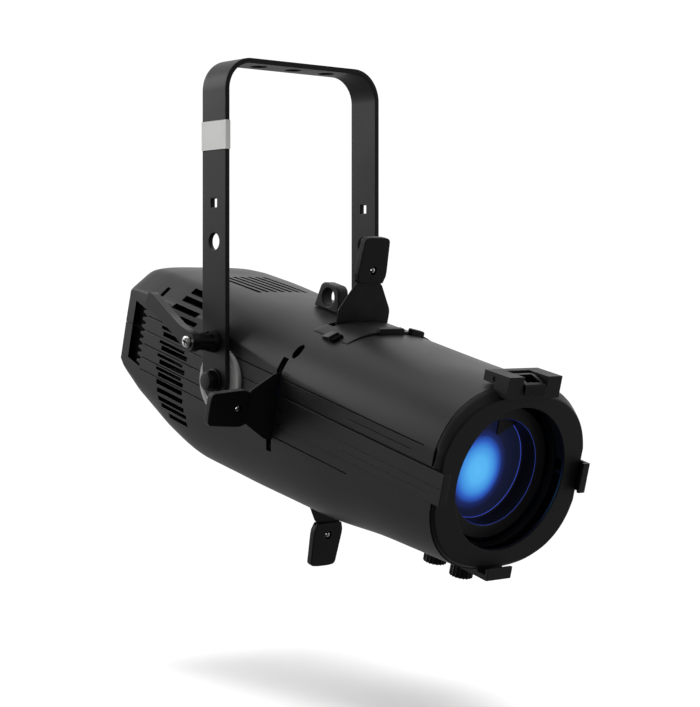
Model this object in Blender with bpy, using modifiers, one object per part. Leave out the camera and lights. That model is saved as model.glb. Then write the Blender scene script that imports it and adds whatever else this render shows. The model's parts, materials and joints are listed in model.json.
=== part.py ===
"""Ellipsoidal spotlight in a flat-bar yoke, modelled in metres with +Z up.

The origin is the middle hook hole, on top of the yoke's crossbar. The lamp body hangs on
two pivot bolts and is modelled in its own frame: origin on the pivot axis, light leaving
along -Y. The empty TILT_AXIS sets that frame nose-down in the world.
"""
import math

import bmesh
import bpy
from mathutils import Matrix, Vector

# ---------------------------------------------------------------- driving dimensions (m)
GAP = 0.0003                       # clearance between pieces that touch
TILT_AT_REST = math.radians(14.6)  # nose-down

YOKE_WIDTH = 0.1546
YOKE_STRAP = 0.030
YOKE_THICK = 0.004
YOKE_HEIGHT = 0.2468               # pivot axis to the top of the crossbar
YOKE_BEND = 0.025                  # outer bend radius
HOOK_HOLE = 0.013
HOOK_PITCH = 0.03415
ARM_HOLE_UP = 0.1062
ARM_SLOT_UP = 0.1356
LABEL_UP = 0.187
LABEL_TALL = 0.022
ARM_OUTER = YOKE_WIDTH / 2
ARM_INNER = ARM_OUTER - YOKE_THICK

PIVOT_BOLT = 0.010
LEVER_UP = 0.0302                  # clamp lever axis above the pivot
SIDE = 0.070                       # half width across the flat sides
WALL = 0.0024
SEAM = 0.010                       # height of the joint between the two shells
REAR_END = 0.138
UPPER_FRONT = -0.240
LOWER_FRONT = -0.2457
RING_FACE = -0.2485
RING_BORE = 0.0515
CLIP_FRONT = -0.2546
CLIP_SIDE = 0.0715
CLIP_HIGH = 0.0097
CLIP_LOW = -0.0125

GATE_RADIUS = 0.024
SHUTTER_Y = {"top": -0.0692, "bottom": -0.0692, "left": -0.0668, "right": -0.0668}
SHUTTER_TURN = {"top": 0, "left": 90, "bottom": 180, "right": 270}
BLADE_THICK = 0.0012
GRIP_HALF = 0.0027                 # the grips pass into the slots, 6 mm wide
BLADE_INNER = 0.027                # blade's inner edge, from the optical axis, when open
BLADE_OUTER = 0.122
RIVET_OUT = 0.105

TRACK_Z = -0.0665                  # middle of the plate that the knobs clamp
TRACK_FRONT = -0.2275
TRACK_BACK = -0.1130
TRACK_HALF = 0.0097
ZOOM_Y = -0.190
FOCUS_Y = -0.218
CARRIAGE_RADIUS = 0.048
KNOB_RADIUS = 0.0074
ROD_X = 0.056
ROD_RADIUS = 0.003

FAN_Z = 0.020
FAN_SIZE = 0.060
LATCH_Y = -0.240
LATCH_Z = 0.0705

# Cross-sections of the body: y, top, flat side up to, bottom, flat side down to,
# roundness above, roundness below (2 is an ellipse, larger is squarer).
SECTIONS = (
    (-0.2457, 0.0655, 0.0200, 0.0655, 0.0190, 2.5, 2.5),
    (-0.2400, 0.0665, 0.0205, 0.0662, 0.0190, 2.5, 2.5),
    (-0.2050, 0.0665, 0.0220, 0.0690, 0.0200, 2.5, 2.5),
    (-0.1700, 0.0657, 0.0230, 0.0718, 0.0210, 2.5, 2.5),
    (-0.1080, 0.0648, 0.0250, 0.0797, 0.0220, 2.5, 2.5),
    (-0.0600, 0.0637, 0.0275, 0.0820, 0.0250, 2.5, 2.5),
    (-0.0100, 0.0637, 0.0330, 0.0838, 0.0300, 2.8, 2.5),
    (0.0400, 0.0625, 0.0385, 0.0842, 0.0350, 3.4, 2.6),
    (0.0800, 0.0611, 0.0395, 0.0742, 0.0345, 4.2, 3.0),
    (0.1150, 0.0595, 0.0390, 0.0550, 0.0330, 4.6, 4.0),
    (0.1330, 0.0575, 0.0380, 0.0412, 0.0275, 4.6, 4.0),
    (REAR_END, 0.0555, 0.0365, 0.0367, 0.0240, 4.6, 4.0),
)
ARC_POINTS = 13                    # points round each half section's curved part

COMB_PITCH = 0.0058                # teeth along the rear side openings
# Shoulder slots: height, then the front and back ends of the lower and upper edges.
SHOULDER_SLOTS = (
    (0.0528, 0.0496, 0.0576, 0.0710, 0.0707),
    (0.0464, 0.0430, 0.0432, 0.0729, 0.0723),
    (0.0392, 0.0458, 0.0423, 0.0785, 0.0752),
    (0.0316, 0.0452, 0.0413, 0.0665, 0.0650),
)
SHOULDER_SLOT_HALF = 0.0021
# Side slots: height, half width, front end, back end. The upper eight stand in pairs.
SIDE_SLOTS = (
    (0.0188, 0.0013, 0.0520, 0.0872),
    (0.0142, 0.0019, 0.0478, 0.0838),
    (0.0070, 0.0013, 0.0520, 0.0872),
    (0.0028, 0.0019, 0.0478, 0.0838),
    (-0.0040, 0.0013, 0.0522, 0.0876),
    (-0.0087, 0.0019, 0.0482, 0.0836),
    (-0.0147, 0.0013, 0.0515, 0.0868),
    (-0.0188, 0.0017, 0.0478, 0.0830),
    (-0.0250, 0.0019, 0.0476, 0.0838),
    (-0.0311, 0.0019, 0.0451, 0.0813),
    (-0.0375, 0.0019, 0.0426, 0.0792),
    (-0.0425, 0.0017, 0.0400, 0.0756),
    (-0.0486, 0.0019, 0.0402, 0.0665),
)

# ---------------------------------------------------------------- scene and helpers
for old in list(bpy.data.objects):
    bpy.data.objects.remove(old)

PARTS = bpy.data.collections.new("ellipsoidal_spotlight")
CUTTERS = bpy.data.collections.new("cutters")
bpy.context.scene.collection.children.link(PARTS)
bpy.context.scene.collection.children.link(CUTTERS)


def empty(name, location, parent=None, tilt=0.0, spin=0.0):
    """An empty that stands on a joint's axis or carries a group's frame."""
    frame = bpy.data.objects.new(name, None)
    frame.location = location
    frame.rotation_euler = (tilt, spin, 0.0)
    frame.parent = parent
    PARTS.objects.link(frame)
    return frame


TILT_AXIS = empty("TILT_AXIS", (0, 0, -YOKE_HEIGHT), tilt=TILT_AT_REST)
PIVOT_FRAME = empty("PIVOT_FRAME", (0, 0, -YOKE_HEIGHT))


def material(name, colour, roughness, metallic=0.0):
    """A Principled BSDF with a plain colour."""
    mat = bpy.data.materials.new(name)
    mat.use_nodes = True
    shader = mat.node_tree.nodes["Principled BSDF"]
    shader.inputs["Base Color"].default_value = (*colour, 1.0)
    shader.inputs["Roughness"].default_value = roughness
    shader.inputs["Metallic"].default_value = metallic
    mat.diffuse_color = (*colour, 1.0)
    return mat


CASTING = (0.035, 0.035, 0.036)
STEEL_BLACK = (0.020, 0.020, 0.021)
RUBBER = (0.012, 0.012, 0.012)
BRIGHT = (0.62, 0.62, 0.60)
BOARD_GREEN = (0.02, 0.10, 0.05)


def finish(name, mesh, colour, roughness, metallic, parent, location, cutter=False):
    """Wrap a mesh in its named object and put it in the right collection."""
    obj = bpy.data.objects.new(name, mesh)
    obj.parent = parent
    obj.location = location
    if cutter:
        obj.hide_render = True
        obj.display_type = "WIRE"
        CUTTERS.objects.link(obj)
        return obj
    mesh.materials.append(material(name + "_material", colour, roughness, metallic))
    PARTS.objects.link(obj)
    return obj


def to_mesh(name, bm):
    """Turn a bmesh into a mesh with smooth round faces and sharp edges over 35 degrees."""
    mesh = bpy.data.meshes.new(name)
    bm.to_mesh(mesh)
    bm.free()
    mesh.shade_smooth()
    mesh.set_sharp_from_angle(angle=math.radians(35))
    return mesh


def add_box(bm, low, high):
    """Add a box between two opposite corners."""
    size = [b - a for a, b in zip(low, high)]
    middle = [(a + b) / 2 for a, b in zip(low, high)]
    move = Matrix.Translation(middle) @ Matrix.Diagonal((*size, 1.0))
    bmesh.ops.create_cube(bm, size=1.0, matrix=move)


def add_cylinder(bm, radius, start, end, segments=24, end_radius=None):
    """Add a cylinder, or a cone when end_radius is given, from start to end."""
    start = Vector(start)
    axis = Vector(end) - start
    turn = axis.to_track_quat("Z", "Y").to_matrix().to_4x4()
    move = Matrix.Translation(start + axis / 2) @ turn
    top = radius if end_radius is None else end_radius
    bmesh.ops.create_cone(bm, cap_ends=True, segments=segments, radius1=radius,
                          radius2=top, depth=axis.length, matrix=move)


def add_prism(bm, outline, plane, low, high):
    """Extrude a closed outline of 2D points along the axis that plane leaves out."""
    order = {"yz": (2, 0, 1), "xz": (0, 2, 1), "xy": (0, 1, 2)}[plane]

    def place(point, depth):
        source = (point[0], point[1], depth)
        return Vector([source[index] for index in order])

    ends = [[bm.verts.new(place(p, depth)) for p in outline] for depth in (low, high)]
    count = len(outline)
    faces = [bm.faces.new(ends[0]), bm.faces.new(ends[1])]
    for i in range(count):
        j = (i + 1) % count
        faces.append(bm.faces.new((ends[0][i], ends[0][j], ends[1][j], ends[1][i])))
    bmesh.ops.recalc_face_normals(bm, faces=faces)


def solid(name, build, colour=CASTING, roughness=0.5, metallic=0.0, parent=TILT_AXIS,
          location=(0, 0, 0), cutter=False):
    """An object whose bmesh is filled by the function build."""
    bm = bmesh.new()
    build(bm)
    return finish(name, to_mesh(name, bm), colour, roughness, metallic, parent, location, cutter)


def cutter(name, build, target, operation="DIFFERENCE", parent=TILT_AXIS, overlapping=False):
    """Build a cutter and cut, join or intersect target with it by an exact Boolean modifier.

    A cutter whose own pieces overlap each other says so in overlapping.
    """
    modifier = target.modifiers.new(operation.lower() + "_" + name, "BOOLEAN")
    modifier.operation = operation
    modifier.object = solid(name, build, parent=parent, cutter=True)
    modifier.solver = "EXACT"
    modifier.use_self = overlapping


def bevel(obj, width, segments=2, angle=35):
    """Round the object's sharp edges."""
    modifier = obj.modifiers.new("edges", "BEVEL")
    modifier.width = width
    modifier.segments = segments
    modifier.limit_method = "ANGLE"
    modifier.angle_limit = math.radians(angle)


def turned(name, profile, steps, colour, roughness, metallic, parent=TILT_AXIS,
           location=(0, 0, 0), along=(0, -1, 0)):
    """A turned piece. The profile's points are (radius, height); height runs along 'along'.

    A profile that starts and ends on the axis stays open, any other is closed to a ring.
    """
    mesh = bpy.data.meshes.new(name)
    points = [(radius, 0.0, height) for radius, height in profile]
    edges = [(i, i + 1) for i in range(len(points) - 1)]
    if profile[0][0] > 0:
        edges.append((len(points) - 1, 0))
    mesh.from_pydata(points, edges, [])
    obj = finish(name, mesh, colour, roughness, metallic, parent, location)
    obj.rotation_euler = Vector(along).to_track_quat("Z", "Y").to_euler()
    screw = obj.modifiers.new("turn", "SCREW")
    screw.steps = steps
    screw.render_steps = steps
    screw.use_merge_vertices = True
    screw.merge_threshold = 0.00005
    screw.use_smooth_shade = True
    return obj


def arc(centre, radius, start, end, count):
    """Points on an arc, angles in degrees."""
    angles = [math.radians(start + (end - start) * i / (count - 1)) for i in range(count)]
    return [(centre[0] + radius * math.cos(a), centre[1] + radius * math.sin(a)) for a in angles]


# ---------------------------------------------------------------- the body's sections
def curve_width(half_width, height, flat, power):
    """Half width of the superellipse that leaves a flat side at half_width up to flat."""
    sine = (flat / height) ** (power / 2)
    return half_width / (1 - sine * sine) ** (1 / power)


def half_section(half_width, height, flat, power, count):
    """Points from the right edge of the flat side, over the curved half, to the left one."""
    reach = curve_width(half_width, height, flat, power)
    start = math.asin((flat / height) ** (power / 2))
    points = []
    for i in range(count):
        angle = start + (math.pi - 2 * start) * i / (count - 1)
        cosine = math.cos(angle)
        x = math.copysign(abs(cosine) ** (2 / power), cosine) * reach
        points.append((x, math.sin(angle) ** (2 / power) * height))
    return points


def section_at(y):
    """Top, flat, bottom, flat and powers at y, between the listed sections."""
    for low, high in zip(SECTIONS, SECTIONS[1:]):
        if y <= high[0]:
            share = (y - low[0]) / (high[0] - low[0])
            return [a + (b - a) * share for a, b in zip(low[1:], high[1:])]
    return list(SECTIONS[-1][1:])


def upper_outline(y, offset=0.0, count=ARC_POINTS):
    """Curved outline of the upper half at y, moved outward by offset."""
    top, flat, _, _, power, _ = section_at(y)
    return half_section(SIDE + offset, top + offset, flat, power, count)


def lower_outline(y, offset=0.0, count=ARC_POINTS):
    """Curved outline of the lower half at y, from left to right."""
    _, _, bottom, flat, _, power = section_at(y)
    points = half_section(SIDE + offset, bottom + offset, flat, power, count)
    return [(x, -z) for x, z in reversed(points)]


def whole_outline(y, offset=0.0, count=ARC_POINTS):
    """Closed outline of the whole section."""
    return upper_outline(y, offset, count) + lower_outline(y, offset, count)


def loft(bm, rings, closed, capped=False):
    """Skin rings of 3D points that run counter-clockwise seen along +Y, front to back."""
    grid = [[bm.verts.new(point) for point in ring] for ring in rings]
    count = len(grid[0])
    for front, back in zip(grid, grid[1:]):
        for j in range(count if closed else count - 1):
            k = (j + 1) % count
            bm.faces.new((front[j], back[j], back[k], front[k]))
    if capped:
        bm.faces.new(grid[0])
        bm.faces.new(list(reversed(grid[-1])))


def shell(name, front, half):
    """One of the body's two shells: an open skin with a wall of even thickness."""
    stations = [front] + [s[0] for s in SECTIONS if s[0] > front + 0.001]

    def build(bm):
        rings = []
        for y in stations:
            if half == "upper":
                edge = SEAM + GAP / 2
                outline = [(SIDE, edge)] + upper_outline(y) + [(-SIDE, edge)]
            else:
                edge = SEAM - GAP / 2
                outline = [(-SIDE, edge)] + lower_outline(y) + [(SIDE, edge)]
            rings.append([(x, y, z) for x, z in outline])
        loft(bm, rings, closed=False)

    obj = solid(name, build, CASTING, 0.45)
    wall = obj.modifiers.new("wall", "SOLIDIFY")
    wall.thickness = WALL
    wall.offset = -1.0
    wall.use_even_offset = True
    return obj


# ---------------------------------------------------------------- yoke and tilt clamp
def yoke():
    """The bent strap with its hook, bolt and pivot holes."""
    half = ARM_OUTER
    inner_bend = YOKE_BEND - YOKE_THICK
    foot = -YOKE_STRAP / 2 - 0.001
    corner = (half - YOKE_BEND, YOKE_HEIGHT - YOKE_BEND)
    outer = arc(corner, YOKE_BEND, 0, 90, 8)
    inner = arc(corner, inner_bend, 90, 0, 8)
    right = [(half, foot)] + outer
    left = [(-x, z) for x, z in reversed(right)]
    inside_left = [(-x, z) for x, z in reversed(inner)]
    inside_left = [(-(half - YOKE_THICK), foot)] + inside_left
    inside_right = inner + [(half - YOKE_THICK, foot)]
    outline = right + left + inside_left + inside_right

    strap = solid("yoke", lambda bm: add_prism(bm, outline, "xz", -YOKE_STRAP / 2, YOKE_STRAP / 2),
                  CASTING, 0.5, 0.3, PIVOT_FRAME)
    top = YOKE_HEIGHT + 0.01
    side = YOKE_STRAP / 2 + 0.001
    foot_arc = arc((0, 0), YOKE_STRAP / 2, 180, 360, 15)
    rounded = [(side, 0.0), (side, top), (-side, top), (-side, 0.0)] + foot_arc
    cutter("yoke_rounding", lambda bm: add_prism(bm, rounded, "yz", -0.1, 0.1), strap,
           "INTERSECT", PIVOT_FRAME)

    def holes(bm):
        for x in (-HOOK_PITCH, 0.0, HOOK_PITCH):
            add_cylinder(bm, HOOK_HOLE / 2, (x, 0, YOKE_HEIGHT - 0.01), (x, 0, YOKE_HEIGHT + 0.01), 20)
        for sign in (-1, 1):
            near, far = sorted((sign * (ARM_INNER - 0.005), sign * (ARM_OUTER + 0.005)))
            add_cylinder(bm, HOOK_HOLE / 2, (near, 0, ARM_HOLE_UP), (far, 0, ARM_HOLE_UP), 20)
            add_cylinder(bm, PIVOT_BOLT / 2 + GAP, (near, 0, 0), (far, 0, 0), 16)
            add_box(bm, (near, -0.0036, ARM_SLOT_UP - 0.0034), (far, 0.0036, ARM_SLOT_UP + 0.0034))
        near, far = -ARM_OUTER - 0.005, -ARM_INNER + 0.005
        add_cylinder(bm, 0.004 + GAP, (near, 0, LEVER_UP), (far, 0, LEVER_UP), 16)

    cutter("yoke_holes", holes, strap, parent=PIVOT_FRAME)

    def label(bm):
        skin = 0.0004
        outer_x = -ARM_OUTER - GAP - skin
        front_y = -YOKE_STRAP / 2 - GAP - skin
        low, high = LABEL_UP - LABEL_TALL / 2, LABEL_UP + LABEL_TALL / 2
        add_prism(bm, [(outer_x, front_y), (-ARM_INNER, front_y), (-ARM_INNER, front_y + skin),
                       (outer_x + skin, front_y + skin), (outer_x + skin, YOKE_STRAP / 2),
                       (outer_x, YOKE_STRAP / 2)], "xy", low, high)

    solid("yoke_label", label, (0.60, 0.60, 0.60), 0.5, 0.0, PIVOT_FRAME)


def pivot(side, sign):
    """Bolt, washer and friction disc of one pivot."""
    washer_in = sign * (ARM_OUTER + GAP)
    washer_out = washer_in + sign * 0.0016
    ring = [(0.0105, 0.0008), (0.0105, -0.0008), (0.0054, -0.0008), (0.0054, 0.0008)]
    turned("pivot_washer_" + side, ring, 20, STEEL_BLACK, 0.5, 0.4, PIVOT_FRAME,
           ((washer_in + washer_out) / 2, 0, 0), (1, 0, 0))

    def bolt(bm):
        head = washer_out + sign * GAP
        add_cylinder(bm, 0.0098, (head, 0, 0), (head + sign * 0.0065, 0, 0), 6)

    def shank(bm):
        add_cylinder(bm, PIVOT_BOLT / 2, (sign * 0.060, 0, 0), (washer_out + sign * 0.003, 0, 0), 16)

    head = solid("pivot_bolt_" + side, bolt, STEEL_BLACK, 0.4, 0.6)
    cutter("pivot_shank_" + side, shank, head, "UNION")

    low, high = SIDE + GAP, ARM_INNER - GAP
    half = (high - low) / 2
    disc = [(0.0255, half), (0.0255, -half), (0.0054, -half), (0.0054, half)]
    turned("friction_disc_" + side, disc, 32, (0.38, 0.38, 0.37), 0.6, 0.0, TILT_AXIS,
           (sign * (low + high) / 2, 0, 0), (1, 0, 0))


def tilt_clamp():
    """Lever, its screw and the pad that presses the side of the body."""
    axis = empty("CLAMP_AXIS", (-ARM_OUTER, 0, LEVER_UP), PIVOT_FRAME)
    hub_end = -0.0245

    def hub(bm):
        add_cylinder(bm, 0.0088, (-GAP, 0, 0), (-0.0060, 0, 0), 20, 0.0078)

    lever = solid("tilt_lever", hub, RUBBER, 0.4, 0.0, axis)
    cutter("lever_neck", lambda bm: add_cylinder(bm, 0.0066, (-0.005, 0, 0), (hub_end, 0, 0), 20),
           lever, "UNION", axis)
    lean = math.radians(31.5)
    along = Vector((math.cos(lean), math.sin(lean)))
    across = Vector((-along.y, along.x))
    length = 0.0640
    half_widths = ((0.0, 0.0074), (0.014, 0.0056), (0.045, 0.0056), (length - 0.004, 0.0064),
                   (length, 0.0040))
    edge = [along * reach + across * width for reach, width in half_widths]
    edge += [along * reach - across * width for reach, width in reversed(half_widths)]
    outline = [(p.x, p.y) for p in edge] + arc((0, 0), 0.0074, 301.5 - 30, 121.5 + 30, 5)
    cutter("lever_paddle", lambda bm: add_prism(bm, outline, "yz", hub_end, hub_end + 0.0068),
           lever, "UNION", axis)
    cutter("lever_bore", lambda bm: add_cylinder(bm, 0.004 + GAP, (0.01, 0, 0), (-0.04, 0, 0), 16),
           lever, parent=axis)

    pad_face = ARM_OUTER - SIDE - GAP
    pad_back = YOKE_THICK + GAP

    def screw(bm):
        add_cylinder(bm, 0.004, (pad_back, 0, 0), (hub_end - 0.001, 0, 0), 16)

    bolt = solid("clamp_screw", screw, BRIGHT, 0.25, 1.0, axis)
    cutter("clamp_head", lambda bm: add_cylinder(bm, 0.0052, (hub_end - GAP, 0, 0),
                                                 (hub_end - 0.0024, 0, 0), 20),
           bolt, "UNION", axis)

    def cross(bm):
        add_box(bm, (hub_end - 0.004, -0.0038, -0.0007), (hub_end - 0.0012, 0.0038, 0.0007))
        add_box(bm, (hub_end - 0.004, -0.0007, -0.0038), (hub_end - 0.0012, 0.0007, 0.0038))

    cutter("clamp_recess", cross, bolt, parent=axis, overlapping=True)

    def pad(bm):
        add_cylinder(bm, 0.0042, (pad_back + GAP, 0, 0), (pad_face, 0, 0), 16)

    solid("brake_pad", pad, RUBBER, 0.8, 0.0, PIVOT_FRAME, (-ARM_OUTER, 0, LEVER_UP))


# ---------------------------------------------------------------- body shells
def side_cuts(bm, sign):
    """Slots, rear comb opening and shutter slot of one side."""
    inside, outside = sorted((sign * 0.055, sign * 0.078))
    for z, half, front, back in SIDE_SLOTS:
        add_box(bm, (inside, front, z - half), (outside, back, z + half))
    slot_y = SHUTTER_Y["left"]
    add_box(bm, (inside, slot_y - 0.003, -0.035), (outside, slot_y + 0.003, 0.037))
    comb = [(0.128, 0.030)]
    for tooth in range(8):
        z = 0.0265 - COMB_PITCH * tooth
        comb += [(0.110, z), (0.115, z - 0.0012), (0.115, z - 0.0030), (0.110, z - 0.0042)]
    comb += [(0.110, -0.0205), (0.128, -0.0175)]
    add_prism(bm, comb, "yz", inside, outside)


def upper_vents(bm, sign):
    """The slanted group of four slots on the shoulder of one side, and a small slot behind."""
    inside, outside = sorted((sign * 0.040, sign * 0.078))
    for z, front_low, front_high, back_low, back_high in SHOULDER_SLOTS:
        low, high = z - SHOULDER_SLOT_HALF, z + SHOULDER_SLOT_HALF
        slot = [(front_low, low), (back_low, low), (back_high, high), (front_high, high)]
        add_prism(bm, slot, "yz", inside, outside)
    add_box(bm, (inside, 0.0955, 0.0415), (outside, 0.1000, 0.0485))


def body_shells():
    """The two shells with their openings, side rails and frame clips."""
    upper = shell("upper_shell", UPPER_FRONT, "upper")
    lower = shell("lower_shell", LOWER_FRONT, "lower")

    def rails(bm):
        for sign in (-1, 1):
            inner, outer = sorted((sign * (SIDE - 0.0012), sign * CLIP_SIDE))
            add_box(bm, (inner, CLIP_FRONT, CLIP_LOW), (outer, -0.0785, CLIP_HIGH))
            inner, outer = sorted((sign * 0.065, sign * (CLIP_SIDE - 0.0005)))
            add_box(bm, (inner, CLIP_FRONT, CLIP_LOW), (outer, CLIP_FRONT + 0.0022, CLIP_HIGH))

    cutter("side_rails", rails, lower, "UNION", overlapping=True)

    def foot_clip(bm):
        side = [(CLIP_FRONT, -0.0712), (-0.2285, -0.0712), (-0.2285, -0.0650), (-0.2450, -0.0645),
                (-0.2450, -0.0672), (CLIP_FRONT + 0.0022, -0.0672), (CLIP_FRONT + 0.0022, -0.0625),
                (CLIP_FRONT, -0.0625)]
        add_prism(bm, side, "yz", -0.0125, 0.0115)

    cutter("bottom_clip", foot_clip, lower, "UNION")

    def top_openings(bm):
        for sign in (-1, 1):
            side_cuts(bm, sign)
            upper_vents(bm, sign)
        for index in range(7):
            x = (index - 3) * 0.0077
            add_box(bm, (x - 0.0019, 0.0283, 0.050), (x + 0.0019, 0.0860, 0.075))
        slot_y = SHUTTER_Y["top"]
        add_box(bm, (-0.030, slot_y - 0.003, 0.045), (0.030, slot_y + 0.003, 0.080))
        for sign in (-1, 1):
            turn = Matrix.Rotation(math.radians(sign * 55), 4, "Y")
            oval = Matrix.Diagonal((0.0066, 0.0034, 0.016, 1.0))
            place = Matrix.Translation((sign * 0.0590, -0.0730, 0.0425)) @ turn @ oval
            bmesh.ops.create_cone(bm, cap_ends=True, segments=16, radius1=1, radius2=1, depth=1,
                                  matrix=place)

    def bottom_openings(bm):
        side_cuts(bm, -1)
        side_cuts(bm, 1)
        slot_y = SHUTTER_Y["bottom"]
        add_box(bm, (-0.030, slot_y - 0.003, -0.095), (0.030, slot_y + 0.003, -0.060))
        add_box(bm, (-TRACK_HALF - GAP, TRACK_FRONT - GAP, -0.095),
                (TRACK_HALF + GAP, TRACK_BACK + GAP, -0.055))
        add_cylinder(bm, PIVOT_BOLT / 2 + GAP, (-0.08, 0, 0), (0.08, 0, 0), 16)

    cutter("top_openings", top_openings, upper)
    cutter("bottom_openings", bottom_openings, lower)


def gate_cover():
    """Raised cover over the gate slot, with an opening for the top shutter and two tabs."""
    low, high = 0.0003, 0.0018
    count, skipped = 15, 4             # the cover leaves out the outline's ends

    def build(bm):
        rings = []
        for y in (-0.1045, -0.0800, -0.0560):
            outside = upper_outline(y, high, count)[skipped:-skipped]
            inside = upper_outline(y, low, count)[skipped:-skipped]
            rings.append([(x, y, z) for x, z in outside + inside[::-1]])
        loft(bm, rings, closed=True, capped=True)

    cover = solid("gate_cover", build, CASTING, 0.45)

    def tabs(bm):
        for outline in ([(-0.0140, 0.0653), (0.0105, 0.0653), (0.0105, 0.0690), (-0.0140, 0.0690)],
                        [(0.0180, 0.0646), (0.0310, 0.0624), (0.0310, 0.0660), (0.0180, 0.0682)]):
            add_prism(bm, outline, "xz", -0.1062, -0.1020)

    cutter("cover_tabs", tabs, cover, "UNION")
    slot_y = SHUTTER_Y["top"]
    cutter("cover_slot", lambda bm: add_box(bm, (-0.0305, slot_y - 0.0033, 0.045),
                                            (0.0305, slot_y + 0.0033, 0.080)), cover)


def front_ring():
    """Front plate with its collar, the latch box on top and room for the clips."""
    def build(bm):
        rings = []
        for y, top, side, bottom in ((RING_FACE, 0.0600, 0.0680, 0.0630),
                                     (-0.2472, 0.0620, 0.0690, 0.0643),
                                     (-0.2435, 0.0648, 0.0697, 0.0655),
                                     (UPPER_FRONT - GAP, 0.0664, 0.0700, 0.0660)):
            above = half_section(side, top, 0.0190, 2.5, 17)
            below = half_section(side, bottom, 0.0190, 2.5, 17)
            outline = above + [(x, -z) for x, z in reversed(below)]
            rings.append([(x, y, z) for x, z in outline])
        loft(bm, rings, closed=True, capped=True)

    ring = solid("front_ring", build, CASTING, 0.45)

    def latch_box(bm):
        outline = [(-0.254, 0.0600), (-0.254, 0.0755), (-0.2295, 0.0745), (-0.2295, 0.0672),
                   (-0.2405, 0.0672), (-0.2405, 0.0600)]
        add_prism(bm, outline, "yz", -0.0256, 0.0256)

    cutter("latch_box", latch_box, ring, "UNION")

    def cuts(bm):
        add_box(bm, (-0.080, LOWER_FRONT - GAP, -0.080), (0.080, -0.230, SEAM + GAP))
        add_box(bm, (-0.0115, -0.260, 0.0620), (0.0115, -0.2355, 0.0800))
        add_box(bm, (-0.0128, -0.250, -0.080), (0.0118, -0.240, -0.0640))
        for sign in (-1, 1):
            inner, outer = sorted((sign * (SIDE - 0.0016), sign * 0.080))
            add_box(bm, (inner, -0.260, CLIP_LOW - GAP), (outer, -0.230, CLIP_HIGH + GAP))

    cutter("ring_bore", lambda bm: add_cylinder(bm, RING_BORE, (0, -0.27, 0), (0, -0.22, 0), 48),
           ring)
    cutter("ring_cuts", cuts, ring, overlapping=True)
    cutter("pin_hole", lambda bm: add_cylinder(bm, 0.0015 + GAP, (-0.03, LATCH_Y, LATCH_Z),
                                               (0.03, LATCH_Y, LATCH_Z), 12), ring)

    def pin(bm):
        add_cylinder(bm, 0.0015, (-0.0250, LATCH_Y, LATCH_Z), (0.0250, LATCH_Y, LATCH_Z), 12)

    solid("latch_pin", pin, BRIGHT, 0.3, 1.0)
    axis = empty("LATCH_AXIS", (0, LATCH_Y, LATCH_Z), TILT_AXIS)

    def latch(bm):
        side = [(0.0030, 0.0028), (-0.0030, 0.0033), (-0.0150, -0.0015), (-0.0150, -0.0080),
                (-0.0128, -0.0080), (-0.0128, -0.0040), (-0.0030, -0.0030), (0.0030, -0.0028)]
        add_prism(bm, side, "yz", -0.0108, 0.0108)

    blade = solid("frame_latch", latch, STEEL_BLACK, 0.35, 0.7, axis)
    cutter("latch_bore", lambda bm: add_cylinder(bm, 0.0015 + GAP, (-0.02, 0, 0), (0.02, 0, 0), 12),
           blade, parent=axis)


def safety_loop():
    """The eye for a safety cable, standing on the upper shell."""
    middle, base, high = -0.0315, 0.0641, 0.0845
    corner = 0.0060
    side = [(middle - 0.0150, base), (middle + 0.0150, base)]
    side += arc((middle + 0.0055, high - corner), corner, 10, 90, 5)
    side += arc((middle - 0.0055, high - corner), corner, 90, 170, 5)
    loop = solid("safety_loop", lambda bm: add_prism(bm, side, "yz", -0.005, 0.005), CASTING, 0.5)
    eye = 0.0740
    cutter("loop_hole", lambda bm: add_cylinder(bm, 0.0068, (-0.02, middle, eye),
                                                (0.02, middle, eye), 20), loop)


# ---------------------------------------------------------------- light engine
FIN_ZS = [-0.024 + 0.0058 * i for i in range(13)]


def heat_sink():
    """Base plate with level fins; a pocket at the back takes the fan."""
    def base(bm):
        add_box(bm, (-0.052, 0.0503, -0.0268), (0.052, 0.057, 0.0480))

    def fins(bm):
        for z in FIN_ZS:
            half = 0.0625 if z < 0.032 else 0.0625 - (z - 0.032) * 1.1
            add_box(bm, (-half, 0.0560, z - 0.0008), (half, 0.1295, z + 0.0008))

    sink = solid("heat_sink", base, (0.05, 0.05, 0.052), 0.4, 0.8)
    cutter("heat_sink_fins", fins, sink, "UNION")
    reach = FAN_SIZE / 2 + GAP

    def pocket(bm):
        add_box(bm, (-reach, 0.105, FAN_Z - reach), (reach, 0.140, FAN_Z + reach + 0.01))

    cutter("fan_pocket", pocket, sink)


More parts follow.
